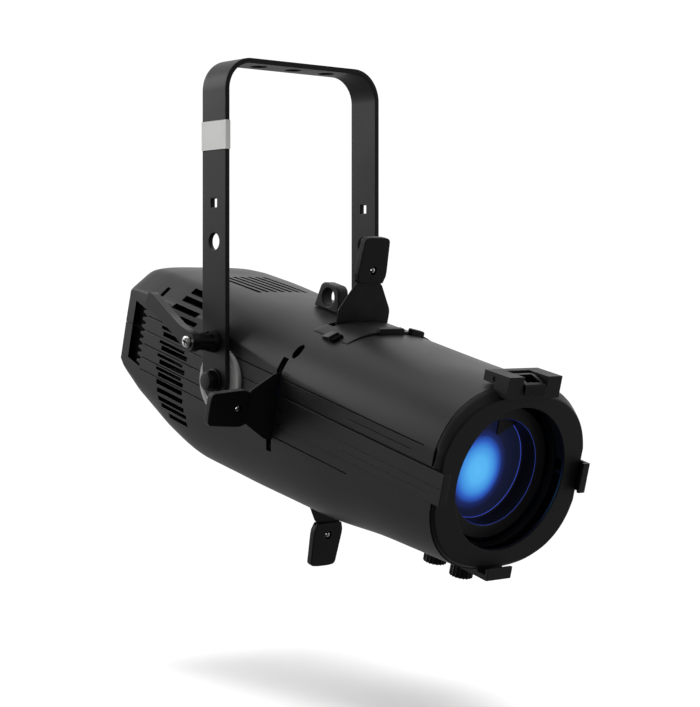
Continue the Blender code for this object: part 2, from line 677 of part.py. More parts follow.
def fan():
    """Fan frame with its spokes and motor seat, and the rotor."""
    front, back = 0.1055, 0.1255
    half = FAN_SIZE / 2

    def frame(bm):
        add_box(bm, (-half, front, FAN_Z - half), (half, back, FAN_Z + half))

    body = solid("fan_frame", frame, RUBBER, 0.5)

    def duct(bm):
        add_cylinder(bm, 0.0285, (0, front - 0.01, FAN_Z), (0, back + 0.01, FAN_Z), 28)

    cutter("fan_duct", duct, body)

    def spokes(bm):
        add_cylinder(bm, 0.0110, (0, back - 0.003, FAN_Z), (0, back, FAN_Z), 20)

    def arms(bm):
        add_box(bm, (-0.0292, back - 0.0026, FAN_Z - 0.0015), (0.0292, back - 0.0004, FAN_Z + 0.0015))

    def stems(bm):
        add_box(bm, (-0.0015, back - 0.0026, FAN_Z - 0.0292), (0.0015, back - 0.0004, FAN_Z + 0.0292))

    for name, build in (("fan_seat", spokes), ("fan_arms", arms), ("fan_stems", stems)):
        cutter(name, build, body, "UNION")

    axis = empty("FAN_AXIS", (0, (front + back) / 2, FAN_Z), TILT_AXIS)
    rotor = solid("fan_rotor", lambda bm: add_cylinder(bm, 0.0105, (0, -0.0085, 0), (0, 0.0062, 0), 20),
                  RUBBER, 0.45, 0.0, axis)

    def blades(bm):
        for index in range(7):
            turn = Matrix.Rotation(math.tau * index / 7, 4, "Y")
            pitch = Matrix.Rotation(math.radians(35), 4, "X")
            place = turn @ Matrix.Translation((0.0185, -0.001, 0)) @ pitch
            size = Matrix.Diagonal((0.0175, 0.0010, 0.0125, 1.0))
            bmesh.ops.create_cube(bm, size=1.0, matrix=place @ size)

    cutter("fan_blades", blades, rotor, "UNION", axis)


def light_engine():
    """Emitter board, collimator and the tunnel that leads to the gate."""
    def board(bm):
        add_box(bm, (-0.030, 0.0483, -0.019), (0.030, 0.0500, 0.0400))

    plate = solid("led_board", board, (0.75, 0.75, 0.72), 0.5)
    cutter("led_emitter", lambda bm: add_cylinder(bm, 0.013, (0, 0.0490, 0), (0, 0.0463, 0), 24),
           plate, "UNION")
    lens = [(0.0, 0.0440), (0.0320, 0.0440), (0.0320, 0.0405), (0.0135, 0.0003), (0.0, 0.0003)]
    turned("collimator", lens, 28, (0.75, 0.80, 0.85), 0.1, 0.0,
           TILT_AXIS, (0, 0.0460, 0), (0, -1, 0))
    front = 0.0640
    tube = [(0.0280, front), (0.0350, 0.0), (0.0335, 0.0), (0.0265, front)]
    turned("light_tunnel", tube, 28, (0.5, 0.5, 0.5), 0.3, 0.9, TILT_AXIS, (0, 0.0005, 0),
           (0, -1, 0))


def electronics():
    """Driver board in the belly and the control board behind the display."""
    def driver(bm):
        add_box(bm, (-0.036, -0.045, -0.0680), (0.036, 0.055, -0.0664))

    board = solid("driver_board", driver, BOARD_GREEN, 0.5)

    def components(bm):
        for low, high in (((-0.030, -0.035, -0.0670), (-0.004, -0.010, -0.0500)),
                          ((0.004, -0.038, -0.0670), (0.028, -0.006, -0.0470)),
                          ((-0.028, 0.004, -0.0670), (0.026, 0.022, -0.0480)),
                          ((-0.020, 0.030, -0.0670), (0.022, 0.046, -0.0540))):
            add_box(bm, low, high)

    cutter("driver_components", components, board, "UNION")

    def control(bm):
        add_box(bm, (-0.034, 0.1305, -0.0235), (0.034, 0.1321, -0.0100))

    solid("control_board", control, BOARD_GREEN, 0.5)


# ---------------------------------------------------------------- rear panel
CONNECTORS = {"power_inlet": (0.046, 0.034), "power_outlet": (0.046, 0.006),
              "data_input": (-0.046, 0.034), "data_output": (-0.046, 0.006)}
DISPLAY_X = -0.012
BUTTON_XS = [0.0150 + 0.0075 * i for i in range(4)]
CONTROL_Z = -0.0165


def rear_panel():
    """Plate that closes the rear, with connectors, display, buttons and fan grille."""
    front, back = 0.1345, 0.1370

    def plate(bm):
        rings = []
        for y in (front, back):
            outline = whole_outline(y, -WALL - 0.0016, 13)
            rings.append([(x, y, z) for x, z in outline])
        loft(bm, rings, closed=True, capped=True)

    panel = solid("rear_panel", plate, CASTING, 0.5)

    def holes(bm):
        for x, z in CONNECTORS.values():
            add_cylinder(bm, 0.0116 + GAP, (x, 0.12, z), (x, 0.15, z), 20)
        for index in range(7):
            x = (index - 3) * 0.0078
            half = math.sqrt(0.0275 ** 2 - x * x)
            add_box(bm, (x - 0.0018, 0.12, FAN_Z - half), (x + 0.0018, 0.15, FAN_Z + half))
        add_box(bm, (DISPLAY_X - 0.0160 - GAP, 0.12, CONTROL_Z - 0.0055 - GAP),
                (DISPLAY_X + 0.0160 + GAP, 0.15, CONTROL_Z + 0.0055 + GAP))
        for x in BUTTON_XS:
            add_cylinder(bm, 0.0027 + GAP, (x, 0.12, CONTROL_Z), (x, 0.15, CONTROL_Z), 12)

    cutter("rear_holes", holes, panel)

    for name, (x, z) in CONNECTORS.items():
        profile = [(0.0, -0.0030), (0.0100, -0.0030), (0.0100, 0.0048), (0.0130, 0.0048),
                   (0.0130, 0.0028), (0.0116, 0.0025), (0.0116, -0.0048), (0.0, -0.0048)]
        turned(name, profile, 20, (0.02, 0.02, 0.02), 0.5, 0.2, TILT_AXIS,
               (x, back - 0.0022, z), (0, 1, 0))

    def window(bm):
        add_box(bm, (DISPLAY_X - 0.016, front + 0.0002, CONTROL_Z - 0.0055),
                (DISPLAY_X + 0.016, back, CONTROL_Z + 0.0055))

    solid("display_window", window, (0.01, 0.02, 0.03), 0.1)
    for index, x in enumerate(BUTTON_XS):
        def button(bm):
            add_cylinder(bm, 0.0027, (0, -0.0030, 0), (0, 0.0020, 0), 12)

        solid("menu_button_%d" % (index + 1), button, (0.10, 0.10, 0.10), 0.6, 0.0, TILT_AXIS,
              (x, back, CONTROL_Z))


# ---------------------------------------------------------------- gate and shutters
def gate():
    """Two aperture plates; four posts keep them apart, clear of the blades."""
    rear_front, rear_back = -0.0655, -0.0640
    front_front, front_back = -0.0724, -0.0709
    frame = solid("gate_frame", lambda bm: add_cylinder(bm, 0.0600, (0, rear_front, 0),
                                                        (0, rear_back, 0), 32),
                  STEEL_BLACK, 0.5, 0.5)

    def posts(bm):
        for x in (-0.040, 0.040):
            for z in (-0.040, 0.040):
                add_cylinder(bm, 0.003, (x, rear_front + 0.0005, z), (x, front_back + GAP, z), 8)

    def aperture(bm):
        add_cylinder(bm, GATE_RADIUS, (0, -0.09, 0), (0, -0.05, 0), 32)

    cutter("gate_posts", posts, frame, "UNION")
    cutter("gate_hole_rear", aperture, frame)
    plate = solid("gate_front_plate", lambda bm: add_cylinder(bm, 0.0600, (0, front_front, 0),
                                                              (0, front_back, 0), 32),
                  STEEL_BLACK, 0.5, 0.5)
    cutter("gate_hole_front", aperture, plate)


def shutters():
    """Four framing shutters: flared blade, grip and rivet, each on its own sliding empty."""
    half_blade = BLADE_THICK / 2
    right = [(0.0255, BLADE_INNER), (0.0255, 0.0720), (0.0245, 0.0755), (0.0135, 0.0930),
             (0.0100, 0.0965), (0.0100, BLADE_OUTER)]
    outline = right + [(-x, z) for x, z in reversed(right)]
    right = [(0.0120, 0.0950), (0.0140, 0.1010), (0.0140, 0.1060), (0.0124, 0.1262)]
    right += arc((0.0086, 0.1262), 0.0038, 18, 72, 3) + [(0.0060, 0.1303), (0.0, 0.1305)]
    grip_outline = right + [(-x, z) for x, z in reversed(right[:-1])]

    for side, turn in SHUTTER_TURN.items():
        slide = empty("SHUTTER_" + side.upper(), (0, SHUTTER_Y[side], 0), TILT_AXIS,
                      spin=-math.radians(turn))
        solid("shutter_blade_" + side, lambda bm: add_prism(bm, outline, "xz", -half_blade, half_blade),
              STEEL_BLACK, 0.4, 0.7, slide)
        grip = solid("shutter_grip_" + side,
                     lambda bm: add_prism(bm, grip_outline, "xz", -GRIP_HALF, GRIP_HALF), RUBBER, 0.6,
                     0.0, slide)
        bevel(grip, 0.0008, 1)

        def pocket(bm):
            add_box(bm, (-0.0145, -half_blade - GAP, 0.080),
                    (0.0145, half_blade + GAP, 0.0968))
            add_box(bm, (-0.0100 - GAP, -half_blade - GAP, 0.0960),
                    (0.0100 + GAP, half_blade + GAP, BLADE_OUTER + GAP))

        def hole(bm):
            add_cylinder(bm, 0.0022 + GAP, (0, -0.02, RIVET_OUT), (0, 0.02, RIVET_OUT), 12)

        cutter("grip_pocket_" + side, pocket, grip, parent=slide, overlapping=True)
        cutter("grip_hole_" + side, hole, grip, parent=slide)
        blade = PARTS.objects["shutter_blade_" + side]
        cutter("blade_hole_" + side, hole, blade, parent=slide)
        rivet = [(0.0, 0.0029), (0.0022, 0.0027), (0.0022, -0.0027), (0.0, -0.0027)]
        turned("shutter_rivet_" + side, rivet, 12, BRIGHT, 0.25, 1.0, slide, (0, 0, RIVET_OUT),
               (0, -1, 0))


# ---------------------------------------------------------------- lenses
def carriage(name, y, front, back, lens_at):
    """A lens holder that runs on both rods, its lens and the knob that locks it.

    front, back and lens_at are distances ahead of the knob's axis at y.
    """
    frame = empty(name.upper() + "_SLIDE", (0, y, 0), TILT_AXIS)
    seat, lip, bore = 0.0378, 0.0358, 0.0389
    lens_half = 0.0030
    lens_back = lens_at - lens_half - 2 * GAP
    lens_front = lens_at + lens_half + 2 * GAP
    ring = [(CARRIAGE_RADIUS, front), (CARRIAGE_RADIUS, back), (lip, back), (lip, lens_back),
            (seat, lens_back), (seat, lens_front), (bore, lens_front + 0.001), (bore, front)]
    holder = turned(name + "_carriage", ring, 32, RUBBER, 0.4, 0.0, frame)

    def ears(bm):
        for sign in (-1, 1):
            near, far = sorted((sign * 0.0455, sign * 0.0620))
            add_box(bm, (near, -0.0070, -0.0065), (far, 0.0065, 0.0065))

    def leg(bm):
        add_box(bm, (-0.0060, -0.0070, TRACK_Z + 0.0010 + GAP), (0.0060, 0.0065, -0.0460))

    def bores(bm):
        for sign in (-1, 1):
            add_cylinder(bm, ROD_RADIUS + GAP, (sign * ROD_X, -0.03, 0), (sign * ROD_X, 0.03, 0), 12)
        add_cylinder(bm, 0.0025 + GAP, (0, 0, -0.080), (0, 0, -0.0520), 12)

    cutter(name + "_ears", ears, holder, "UNION", frame)
    cutter(name + "_leg", leg, holder, "UNION", frame)
    cutter(name + "_bores", bores, holder, parent=frame)

    rim = seat - GAP
    face = [(rim * math.sin(math.radians(a)), lens_half + 0.0055 * (math.cos(math.radians(a))))
            for a in range(0, 91, 18)]
    profile = face + [(rim, -lens_half), (0.0, -lens_half)]
    turned(name + "_lens", profile, 32, (0.10, 0.25, 0.80), 0.05, 0.0, frame, (0, -lens_at, 0))

    knob_axis = empty(name.upper() + "_KNOB_AXIS", (0, 0, 0), frame)
    top = TRACK_Z - 0.0010 - GAP
    bottom = top - 0.0140

    def head(bm):
        add_cylinder(bm, KNOB_RADIUS, (0, 0, bottom), (0, 0, top), 16)

    def ribs(bm):
        for index in range(8):
            angle = math.tau * index / 8
            x, y_side = KNOB_RADIUS * math.cos(angle), KNOB_RADIUS * math.sin(angle)
            add_cylinder(bm, 0.0013, (x, y_side, bottom + 0.001), (x, y_side, top - 0.003), 6)

    knob = solid(name + "_knob", head, RUBBER, 0.5, 0.0, knob_axis)
    cutter(name + "_knob_ribs", ribs, knob, "UNION", knob_axis)
    cutter(name + "_knob_stud", lambda bm: add_cylinder(bm, 0.0025, (0, 0, top - 0.001),
                                                        (0, 0, -0.0530), 12),
           knob, "UNION", knob_axis)


def lens_train():
    """Rods, the plate the knobs clamp, and the zoom and focus carriages."""
    for side, sign in (("left", -1), ("right", 1)):
        def rod(bm):
            add_cylinder(bm, ROD_RADIUS, (sign * ROD_X, -0.2454, 0), (sign * ROD_X, -0.0730, 0), 12)

        solid("guide_rod_" + side, rod, BRIGHT, 0.2, 1.0)

    def track(bm):
        add_box(bm, (-TRACK_HALF, TRACK_FRONT, TRACK_Z - 0.0010),
                (TRACK_HALF, TRACK_BACK, TRACK_Z + 0.0010))

    plate = solid("knob_track", track, STEEL_BLACK, 0.5, 0.5)
    cutter("track_slot", lambda bm: add_box(bm, (-0.0032, TRACK_FRONT + 0.004, -0.08),
                                            (0.0032, TRACK_BACK - 0.004, -0.05)), plate)
    carriage("zoom", ZOOM_Y, 0.0075, -0.0085, 0.0)
    carriage("focus", FOCUS_Y, 0.0150, -0.0075, -0.0030)


yoke()
pivot("left", -1)
pivot("right", 1)
tilt_clamp()
body_shells()
gate_cover()
front_ring()
safety_loop()
heat_sink()
fan()
light_engine()
electronics()
rear_panel()
gate()
shutters()
lens_train()
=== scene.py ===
"""Looks of the ellipsoidal spotlight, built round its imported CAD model. Metres, +Z up.

The origin is the middle hook hole, on top of the yoke's crossbar. Pieces of the lamp are
modelled in the lamp's own frame: origin on the tilt pivot, light leaving along -Y.
"""

import json
import math

import bmesh
import bpy
from mathutils import Matrix, Vector

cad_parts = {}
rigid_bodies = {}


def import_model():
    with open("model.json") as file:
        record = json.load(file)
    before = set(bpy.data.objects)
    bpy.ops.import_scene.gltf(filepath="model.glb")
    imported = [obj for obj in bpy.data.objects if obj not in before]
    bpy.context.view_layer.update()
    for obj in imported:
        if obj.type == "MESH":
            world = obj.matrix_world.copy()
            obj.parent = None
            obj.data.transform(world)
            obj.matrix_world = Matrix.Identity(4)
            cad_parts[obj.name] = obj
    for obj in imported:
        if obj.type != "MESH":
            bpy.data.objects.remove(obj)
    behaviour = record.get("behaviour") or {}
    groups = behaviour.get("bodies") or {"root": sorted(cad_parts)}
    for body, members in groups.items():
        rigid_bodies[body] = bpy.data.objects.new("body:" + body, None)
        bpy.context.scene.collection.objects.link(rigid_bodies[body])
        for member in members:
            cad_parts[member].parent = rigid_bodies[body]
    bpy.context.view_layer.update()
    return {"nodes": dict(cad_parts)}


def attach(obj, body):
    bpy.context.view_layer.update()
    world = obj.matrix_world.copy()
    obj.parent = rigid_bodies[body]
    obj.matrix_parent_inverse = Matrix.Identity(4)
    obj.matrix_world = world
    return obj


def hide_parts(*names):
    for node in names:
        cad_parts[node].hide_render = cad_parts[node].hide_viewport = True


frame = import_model()
NODES = frame["nodes"]
SCENE = bpy.context.scene

# ---------------------------------------------------------------- dimensions (m)
GAP = 0.0003
YOKE_WIDTH, YOKE_STRAP, YOKE_THICK = 0.1546, 0.030, 0.004
YOKE_HEIGHT, YOKE_BEND = 0.2468, 0.025
HOOK_HOLE, HOOK_PITCH = 0.013, 0.03415
ARM_HOLE_UP, ARM_SLOT_UP = 0.1062, 0.1356
LABEL_UP, LABEL_TALL = 0.187, 0.022
ARM_OUTER = YOKE_WIDTH / 2
ARM_INNER = ARM_OUTER - YOKE_THICK
LEVER_UP, FLUTES, PIVOT_HOLE = 0.0302, 8, 0.0053
SIDE, WALL, SEAM, LINER_X, ROD_X = 0.070, 0.0024, 0.010, 0.0662, 0.056
REAR_END, UPPER_FRONT, LOWER_FRONT = 0.138, -0.240, -0.2457
RING_FACE, RING_BORE = -0.2485, 0.0515
CLIP_FRONT, CLIP_SIDE, CLIP_HIGH, CLIP_LOW = -0.2546, 0.0715, 0.0097, -0.0125
SHUTTER_Y = {"top": -0.0692, "bottom": -0.0692, "left": -0.0668, "right": -0.0668}
SHUTTER_TURN = {"top": 0, "left": 90, "bottom": 180, "right": 270}
BLADE_HALF, GRIP_HALF, RIVET_OUT = 0.0006, 0.0027, 0.105
TRACK_Z, TRACK_FRONT, TRACK_BACK, TRACK_HALF = -0.0665, -0.2275, -0.1130, 0.0097
ZOOM_Y, FOCUS_Y, KNOB_RADIUS = -0.190, -0.218, 0.0074
LATCH_Y, LATCH_Z = -0.240, 0.0705
FAN_Z, CONTROL_Z, DISPLAY_X = 0.020, -0.0165, -0.012

# y, top, flat side up to, bottom, flat side down to, roundness above, roundness below
SECTIONS = (
    (-0.2457, 0.0655, 0.0200, 0.0655, 0.0190, 2.5, 2.5),
    (-0.2400, 0.0665, 0.0205, 0.0662, 0.0190, 2.5, 2.5),
    (-0.2050, 0.0665, 0.0220, 0.0690, 0.0200, 2.5, 2.5),
    (-0.1700, 0.0657, 0.0230, 0.0718, 0.0210, 2.5, 2.5),
    (-0.1080, 0.0648, 0.0250, 0.0797, 0.0220, 2.5, 2.5),
    (-0.0600, 0.0637, 0.0275, 0.0820, 0.0250, 2.5, 2.5),
    (-0.0100, 0.0637, 0.0330, 0.0838, 0.0300, 2.8, 2.5),
    (0.0400, 0.0625, 0.0385, 0.0842, 0.0350, 3.4, 2.6),
    (0.0800, 0.0611, 0.0395, 0.0728, 0.0340, 4.2, 3.0),
    (0.1150, 0.0595, 0.0390, 0.0545, 0.0310, 4.6, 3.4),
    (0.1330, 0.0575, 0.0380, 0.0412, 0.0255, 4.6, 3.6),
    (REAR_END, 0.0555, 0.0365, 0.0367, 0.0210, 4.6, 3.5),
)
# height, then the front and back ends of the lower and upper edges
SHOULDER_SLOTS = (
    (0.0528, 0.0496, 0.0576, 0.0710, 0.0707),
    (0.0464, 0.0430, 0.0432, 0.0729, 0.0723),
    (0.0392, 0.0458, 0.0423, 0.0785, 0.0752),
    (0.0316, 0.0452, 0.0413, 0.0665, 0.0650),
)
SHOULDER_SLOT_HALF = 0.0021
# height, half width, front end, back end
SIDE_SLOTS = (
    (0.0188, 0.0013, 0.0520, 0.0872),
    (0.0142, 0.0019, 0.0478, 0.0838),
    (0.0070, 0.0013, 0.0520, 0.0872),
    (0.0028, 0.0019, 0.0478, 0.0838),
    (-0.0040, 0.0013, 0.0522, 0.0876),
    (-0.0087, 0.0019, 0.0482, 0.0836),
    (-0.0147, 0.0013, 0.0515, 0.0868),
    (-0.0188, 0.0017, 0.0478, 0.0830),
    (-0.0250, 0.0019, 0.0476, 0.0838),
    (-0.0311, 0.0019, 0.0451, 0.0813),
    (-0.0375, 0.0019, 0.0426, 0.0792),
    (-0.0425, 0.0017, 0.0400, 0.0756),
    (-0.0486, 0.0019, 0.0402, 0.0665),
)
STRAIGHT_FROM = 0.080
CHAMFER_FROM, CHAMFER_GROWS, CHAMFER_WIDTH, CHAMFER_SOFT = -0.040, 0.085, 0.0215, 0.0025

YOKE_FRAME = Matrix.Translation((0, 0, -YOKE_HEIGHT))
LAMP_FRAME = YOKE_FRAME @ Matrix.Rotation(math.radians(14.6), 4, "X")


# ---------------------------------------------------------------- materials
COAT_ROUGHNESS, EDGE_RADIUS = 0.25, 0.0006


def add_node(tree, kind, inputs, **settings):
    """Add a shader node; an input is linked where it is given a socket, and set otherwise."""
    node = tree.nodes.new("ShaderNode" + kind)
    for key, value in settings.items():
        setattr(node, key, value)
    for key, value in inputs.items():
        if isinstance(value, bpy.types.NodeSocket):
            tree.links.new(value, node.inputs[key])
        else:
            node.inputs[key].default_value = value
    return node


def map_range(tree, source, low, high, to_low, to_high, **settings):
    """Output that runs from to_low to to_high while source runs from low to high."""
    inputs = {"Value": source, "From Min": low, "From Max": high, "To Min": to_low,
              "To Max": to_high}
    return add_node(tree, "MapRange", inputs, **settings).outputs["Result"]


def colour_ramp(tree, source, stops):
    """Output that runs through colours; stops are (position from 0 to 1, colour) in order."""
    node = add_node(tree, "ValToRGB", {"Fac": source})
    elements = node.color_ramp.elements
    for position, _ in stops[1:-1]:
        elements.new(position)
    for element, (position, colour) in zip(elements, stops):
        element.position = position
        element.color = (*colour, 1.0)
    return node.outputs["Color"]


def new_material(name, inputs):
    """A node material and its Principled shader, with some of its inputs set."""
    mat = bpy.data.materials.new(name)
    mat.use_nodes = True
    shader = mat.node_tree.nodes["Principled BSDF"]
    for key, value in inputs.items():
        shader.inputs[key].default_value = value
    return mat, shader


def material(name, colour, roughness, metallic=0.0, grain=700.0, bump=0.00003, blotch=22.0,
             spread=0.12, edge_highlight=0.0, coat=0.0, specular=0.5, brushed=None):
    """A Principled surface with colour blotches, uneven gloss, fine grain and edges painted lighter
    as a highlight.

    brushed stretches the grain along one axis. Edges are painted lighter, a painted highlight, by
    the share that the edge argument gives.
    """
    mat, shader = new_material(name, {
        "Metallic": metallic, "Coat Weight": coat, "Coat Roughness": COAT_ROUGHNESS,
        "Specular IOR Level": specular})
    tree = mat.node_tree
    place = add_node(tree, "TexCoord", {}).outputs["Object"]
    fine_place = place
    if brushed:
        stretched = add_node(tree, "Mapping", {"Vector": place, "Scale": brushed})
        fine_place = stretched.outputs["Vector"]

    def noise(scale, detail, source):
        inputs = {"Scale": scale, "Detail": detail, "Vector": source}
        return add_node(tree, "TexNoise", inputs).outputs["Fac"]

    def blend(factor, first, second):
        inputs = {"Factor": factor, "A": first, "B": second}
        return add_node(tree, "Mix", inputs, data_type="RGBA").outputs["Result"]

    cloudy = noise(blotch, 4.0, place)
    fine = noise(grain, 2.0, fine_place)
    dark = (*[c * (1 - spread) for c in colour], 1.0)
    light = (*[min(1.0, c * (1 + spread)) for c in colour], 1.0)
    tone = blend(map_range(tree, cloudy, 0.3, 0.7, 0.0, 1.0), dark, light)
    bumps = add_node(tree, "Bump", {"Strength": 1.0, "Distance": bump, "Height": fine})
    # Painted highlight: sharp edges get a lighter colour, standing in for light caught along them;
    # the rounded normal also softens their shading.
    if edge_highlight:
        rounded = add_node(tree, "Bevel", {"Radius": EDGE_RADIUS}, samples=4).outputs["Normal"]
        straight = add_node(tree, "NewGeometry", {}).outputs["Normal"]
        dot = add_node(tree, "VectorMath", {0: rounded, 1: straight}, operation="DOT_PRODUCT")
        edge = map_range(tree, dot.outputs["Value"], 0.80, 0.985, edge_highlight, 0.0)
        highlight_tone = (*[min(1.0, c * 2.2 + 0.01) for c in colour], 1.0)
        tone = blend(edge, tone, highlight_tone)
        tree.links.new(rounded, bumps.inputs["Normal"])
    uneven = map_range(tree, cloudy, 0.3, 0.7, roughness * 0.92, roughness * 1.08)
    for key, output in (("Base Color", tone), ("Roughness", uneven),
                        ("Normal", bumps.outputs["Normal"])):
        tree.links.new(output, shader.inputs[key])
    mat.diffuse_color = (*colour, 1.0)
    return mat


CAST = material("powder_coat_casting", (0.029, 0.029, 0.030), 0.42, bump=0.000018, edge_highlight=0.35)
YOKE_COAT = material("powder_coat_yoke", (0.018, 0.018, 0.0184), 0.46, bump=0.000018, edge_highlight=0.35,
                     specular=0.42)
# Painted shade: a darker copy of the casting coat, for the front ring and the cover hooks, which
# face away from the light.
SHADED_CAST_COAT = material("cast_coat_painted_shade", (0.020, 0.020, 0.0205), 0.50, bump=0.000018, edge_highlight=0.3)
BLACK_STEEL = material("blackened_steel", (0.016, 0.016, 0.017), 0.38, 0.35, edge_highlight=0.5,
                       spread=0.2)
BLADE_STEEL = material("blade_steel", (0.034, 0.034, 0.0345), 0.42, 0.2, blotch=60.0,
                       spread=0.25, edge_highlight=0.5, brushed=(1.0, 1.0, 0.06))
GRIP = material("moulded_grip", (0.012, 0.012, 0.0123), 0.45, grain=1500.0, edge_highlight=0.4)
PLASTIC = material("moulded_plastic", (0.007, 0.007, 0.0073), 0.40, grain=1500.0, edge_highlight=0.3)
RUBBER = material("rubber", (0.010, 0.010, 0.010), 0.75, grain=1200.0, bump=0.00006)
DARK_BORE = material("matt_black_bore", (0.045, 0.045, 0.048), 0.35, spread=0.2)
# Painted shade: a near-black for the walls that cuts leave, for recesses and for sheets inside the
# body, where shade falls.
PAINTED_SHADE = material("painted_shade_inside", (0.0015, 0.0015, 0.0016), 0.80, spread=0.2, specular=0.1)
BRIGHT = material("bright_steel", (0.72, 0.72, 0.70), 0.22, 1.0, blotch=90.0, spread=0.06)
DISC = material("friction_disc", (0.90, 0.90, 0.89), 0.55, blotch=55.0, spread=0.06, grain=1100.0)
FILM = material("label_film", (0.68, 0.68, 0.67), 0.50, blotch=45.0, spread=0.035,
                brushed=(1.0, 1.0, 0.2), coat=0.2)
SINK = material("anodised_fins", (0.012, 0.012, 0.0125), 0.45, 0.7, brushed=(1.0, 0.05, 1.0))
POLISHED = material("polished_tunnel", (0.5, 0.5, 0.5), 0.2, 1.0)
BOARD = material("circuit_board", (0.02, 0.10, 0.05), 0.45, grain=300.0, bump=0.00008)
WHITE_BOARD = material("white_board", (0.70, 0.70, 0.66), 0.4)
OPTIC = material("clear_optic", (0.60, 0.66, 0.72), 0.08, coat=1.0)
OILED = material("oiled_rod", (0.10, 0.10, 0.10), 0.40, 1.0, spread=0.2)
GLOSS_BORE = material("gloss_black_bore", (0.030, 0.030, 0.034), 0.16, spread=0.2, coat=0.5)
WINDOW = material("display_window", (0.006, 0.008, 0.012), 0.10, coat=1.0, spread=0.1)


def painted_glow(name, base, stops, strength=1.0, offset=(0, 0, 0), squeeze=1.0):
    """Coated glass with a painted glow: emission that fades outward from a point near its own axis.

    stops are (radius, colour) from the middle outward; squeeze narrows the glow sideways.
    """
    mat, shader = new_material(name, {
        "Base Color": (*base, 1.0), "Roughness": 0.25, "Specular IOR Level": 0.12,
        "Emission Strength": strength})
    tree = mat.node_tree
    where = add_node(tree, "TexCoord", {}).outputs["Object"]
    flat = add_node(tree, "Mapping", {"Vector": where, "Location": offset,
                                      "Scale": (squeeze, 0.0, 1.0)}).outputs["Vector"]
    ripple = add_node(tree, "TexNoise", {"Vector": where, "Scale": 60.0}).outputs["Fac"]
    length = add_node(tree, "VectorMath", {0: flat}, operation="LENGTH").outputs["Value"]
    wobble = add_node(tree, "Math", {0: ripple, 1: 0.0015, 2: length}, operation="MULTIPLY_ADD")
    reach = stops[-1][0]
    share = add_node(tree, "Math", {0: wobble.outputs["Value"], 1: reach}, operation="DIVIDE")
    colours = colour_ramp(tree, share.outputs["Value"],
                          [(radius / reach, colour) for radius, colour in stops])
    tree.links.new(colours, shader.inputs["Emission Color"])
    mat.diffuse_color = (*stops[0][1], 1.0)
    return mat


# Painted glow on the lens glass: blue emission, brightest near the middle and fading outward,
# though the lens is no lamp.
PAINTED_LENS_GLOW = painted_glow("lens_painted_glow", (0.004, 0.006, 0.02), (
    (0.0, (0.11, 0.50, 0.92)), (0.010, (0.095, 0.45, 0.88)), (0.017, (0.055, 0.28, 0.74)),
    (0.022, (0.026, 0.10, 0.50)), (0.026, (0.012, 0.022, 0.12)), (0.031, (0.008, 0.010, 0.034)),
    (0.045, (0.006, 0.008, 0.022))), offset=(0.0085, 0, 0.001), squeeze=1.12)
# Painted glint: blue emission on two thin rings at the focus holder's edges, standing in for light
# caught by them.
PAINTED_EDGE_GLINT = painted_glow("edge_painted_glint", (0.01, 0.01, 0.05), (
    (0.0, (0.05, 0.08, 0.55)), (0.046, (0.05, 0.08, 0.55)), (0.062, (0.02, 0.02, 0.14)),
    (0.072, (0.004, 0.004, 0.02))), 0.8, offset=(-0.028, 0, 0.012))


# ---------------------------------------------------------------- mesh helpers
def apply_modifiers(obj):
    """Turn the object's modifiers into its mesh."""
    bpy.context.view_layer.update()
    graph = bpy.context.evaluated_depsgraph_get()
    mesh = bpy.data.meshes.new_from_object(obj.evaluated_get(graph))
    old, obj.data = obj.data, mesh
    obj.modifiers.clear()
    bpy.data.meshes.remove(old)


def carve(obj, build, operation="DIFFERENCE", overlapping=False, lining=None):
    """Cut, join or intersect the object with a solid that build fills, in the object's frame.

    lining is the material of the faces that a cut leaves.
    """
    bm = bmesh.new()
    build(bm)
    mesh = bpy.data.meshes.new("tool")
    bm.to_mesh(mesh)
    bm.free()
    tool = bpy.data.objects.new("tool", mesh)
    SCENE.collection.objects.link(tool)
    tool.matrix_world = obj.matrix_world
    boolean = obj.modifiers.new("boolean", "BOOLEAN")
    boolean.operation = operation
    boolean.object = tool
    boolean.solver = "EXACT"
    boolean.use_self = overlapping
    if lining:
        mesh.materials.append(lining)
        boolean.material_mode = "TRANSFER"
    apply_modifiers(obj)
    bpy.data.objects.remove(tool)
    bpy.data.meshes.remove(mesh)


def round_edges(obj, width, segments=2, angle=35):
    """Round the object's sharp edges."""
    bevel = obj.modifiers.new("bevel", "BEVEL")
    bevel.width = width
    bevel.segments = segments
    bevel.limit_method = "ANGLE"
    bevel.angle_limit = math.radians(angle)
    bevel.harden_normals = False
    apply_modifiers(obj)


def start(name, build, place=LAMP_FRAME):
    """An object whose mesh build fills, standing in place's frame."""
    bm = bmesh.new()
    build(bm)
    mesh = bpy.data.meshes.new(name)
    bm.to_mesh(mesh)
    bm.free()
    obj = bpy.data.objects.new(name, mesh)
    SCENE.collection.objects.link(obj)
    obj.matrix_world = place
    return obj


def settle(obj, mat, body="lamp_body", slot="cast_black", *stands_for, smooth=35,
           own_frame=False):
    """Finish a piece: its shading, material, body and the CAD nodes it stands for.

    own_frame keeps the object's frame, for a material that follows the piece's own axes. slot is
    not used.
    """
    mesh = obj.data
    if len(mesh.materials) < 2:
        mesh.materials.clear()
        mesh.materials.append(mat)
    if not own_frame:
        mesh.transform(obj.matrix_world)
        obj.matrix_world = Matrix.Identity(4)
    mesh.shade_smooth()
    mesh.set_sharp_from_angle(angle=math.radians(smooth))
    weigh = obj.modifiers.new("weigh", "WEIGHTED_NORMAL")
    weigh.keep_sharp = True
    weigh.weight = 80
    apply_modifiers(obj)
    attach(obj, body)
    if stands_for:
        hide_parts(*stands_for)
    return obj


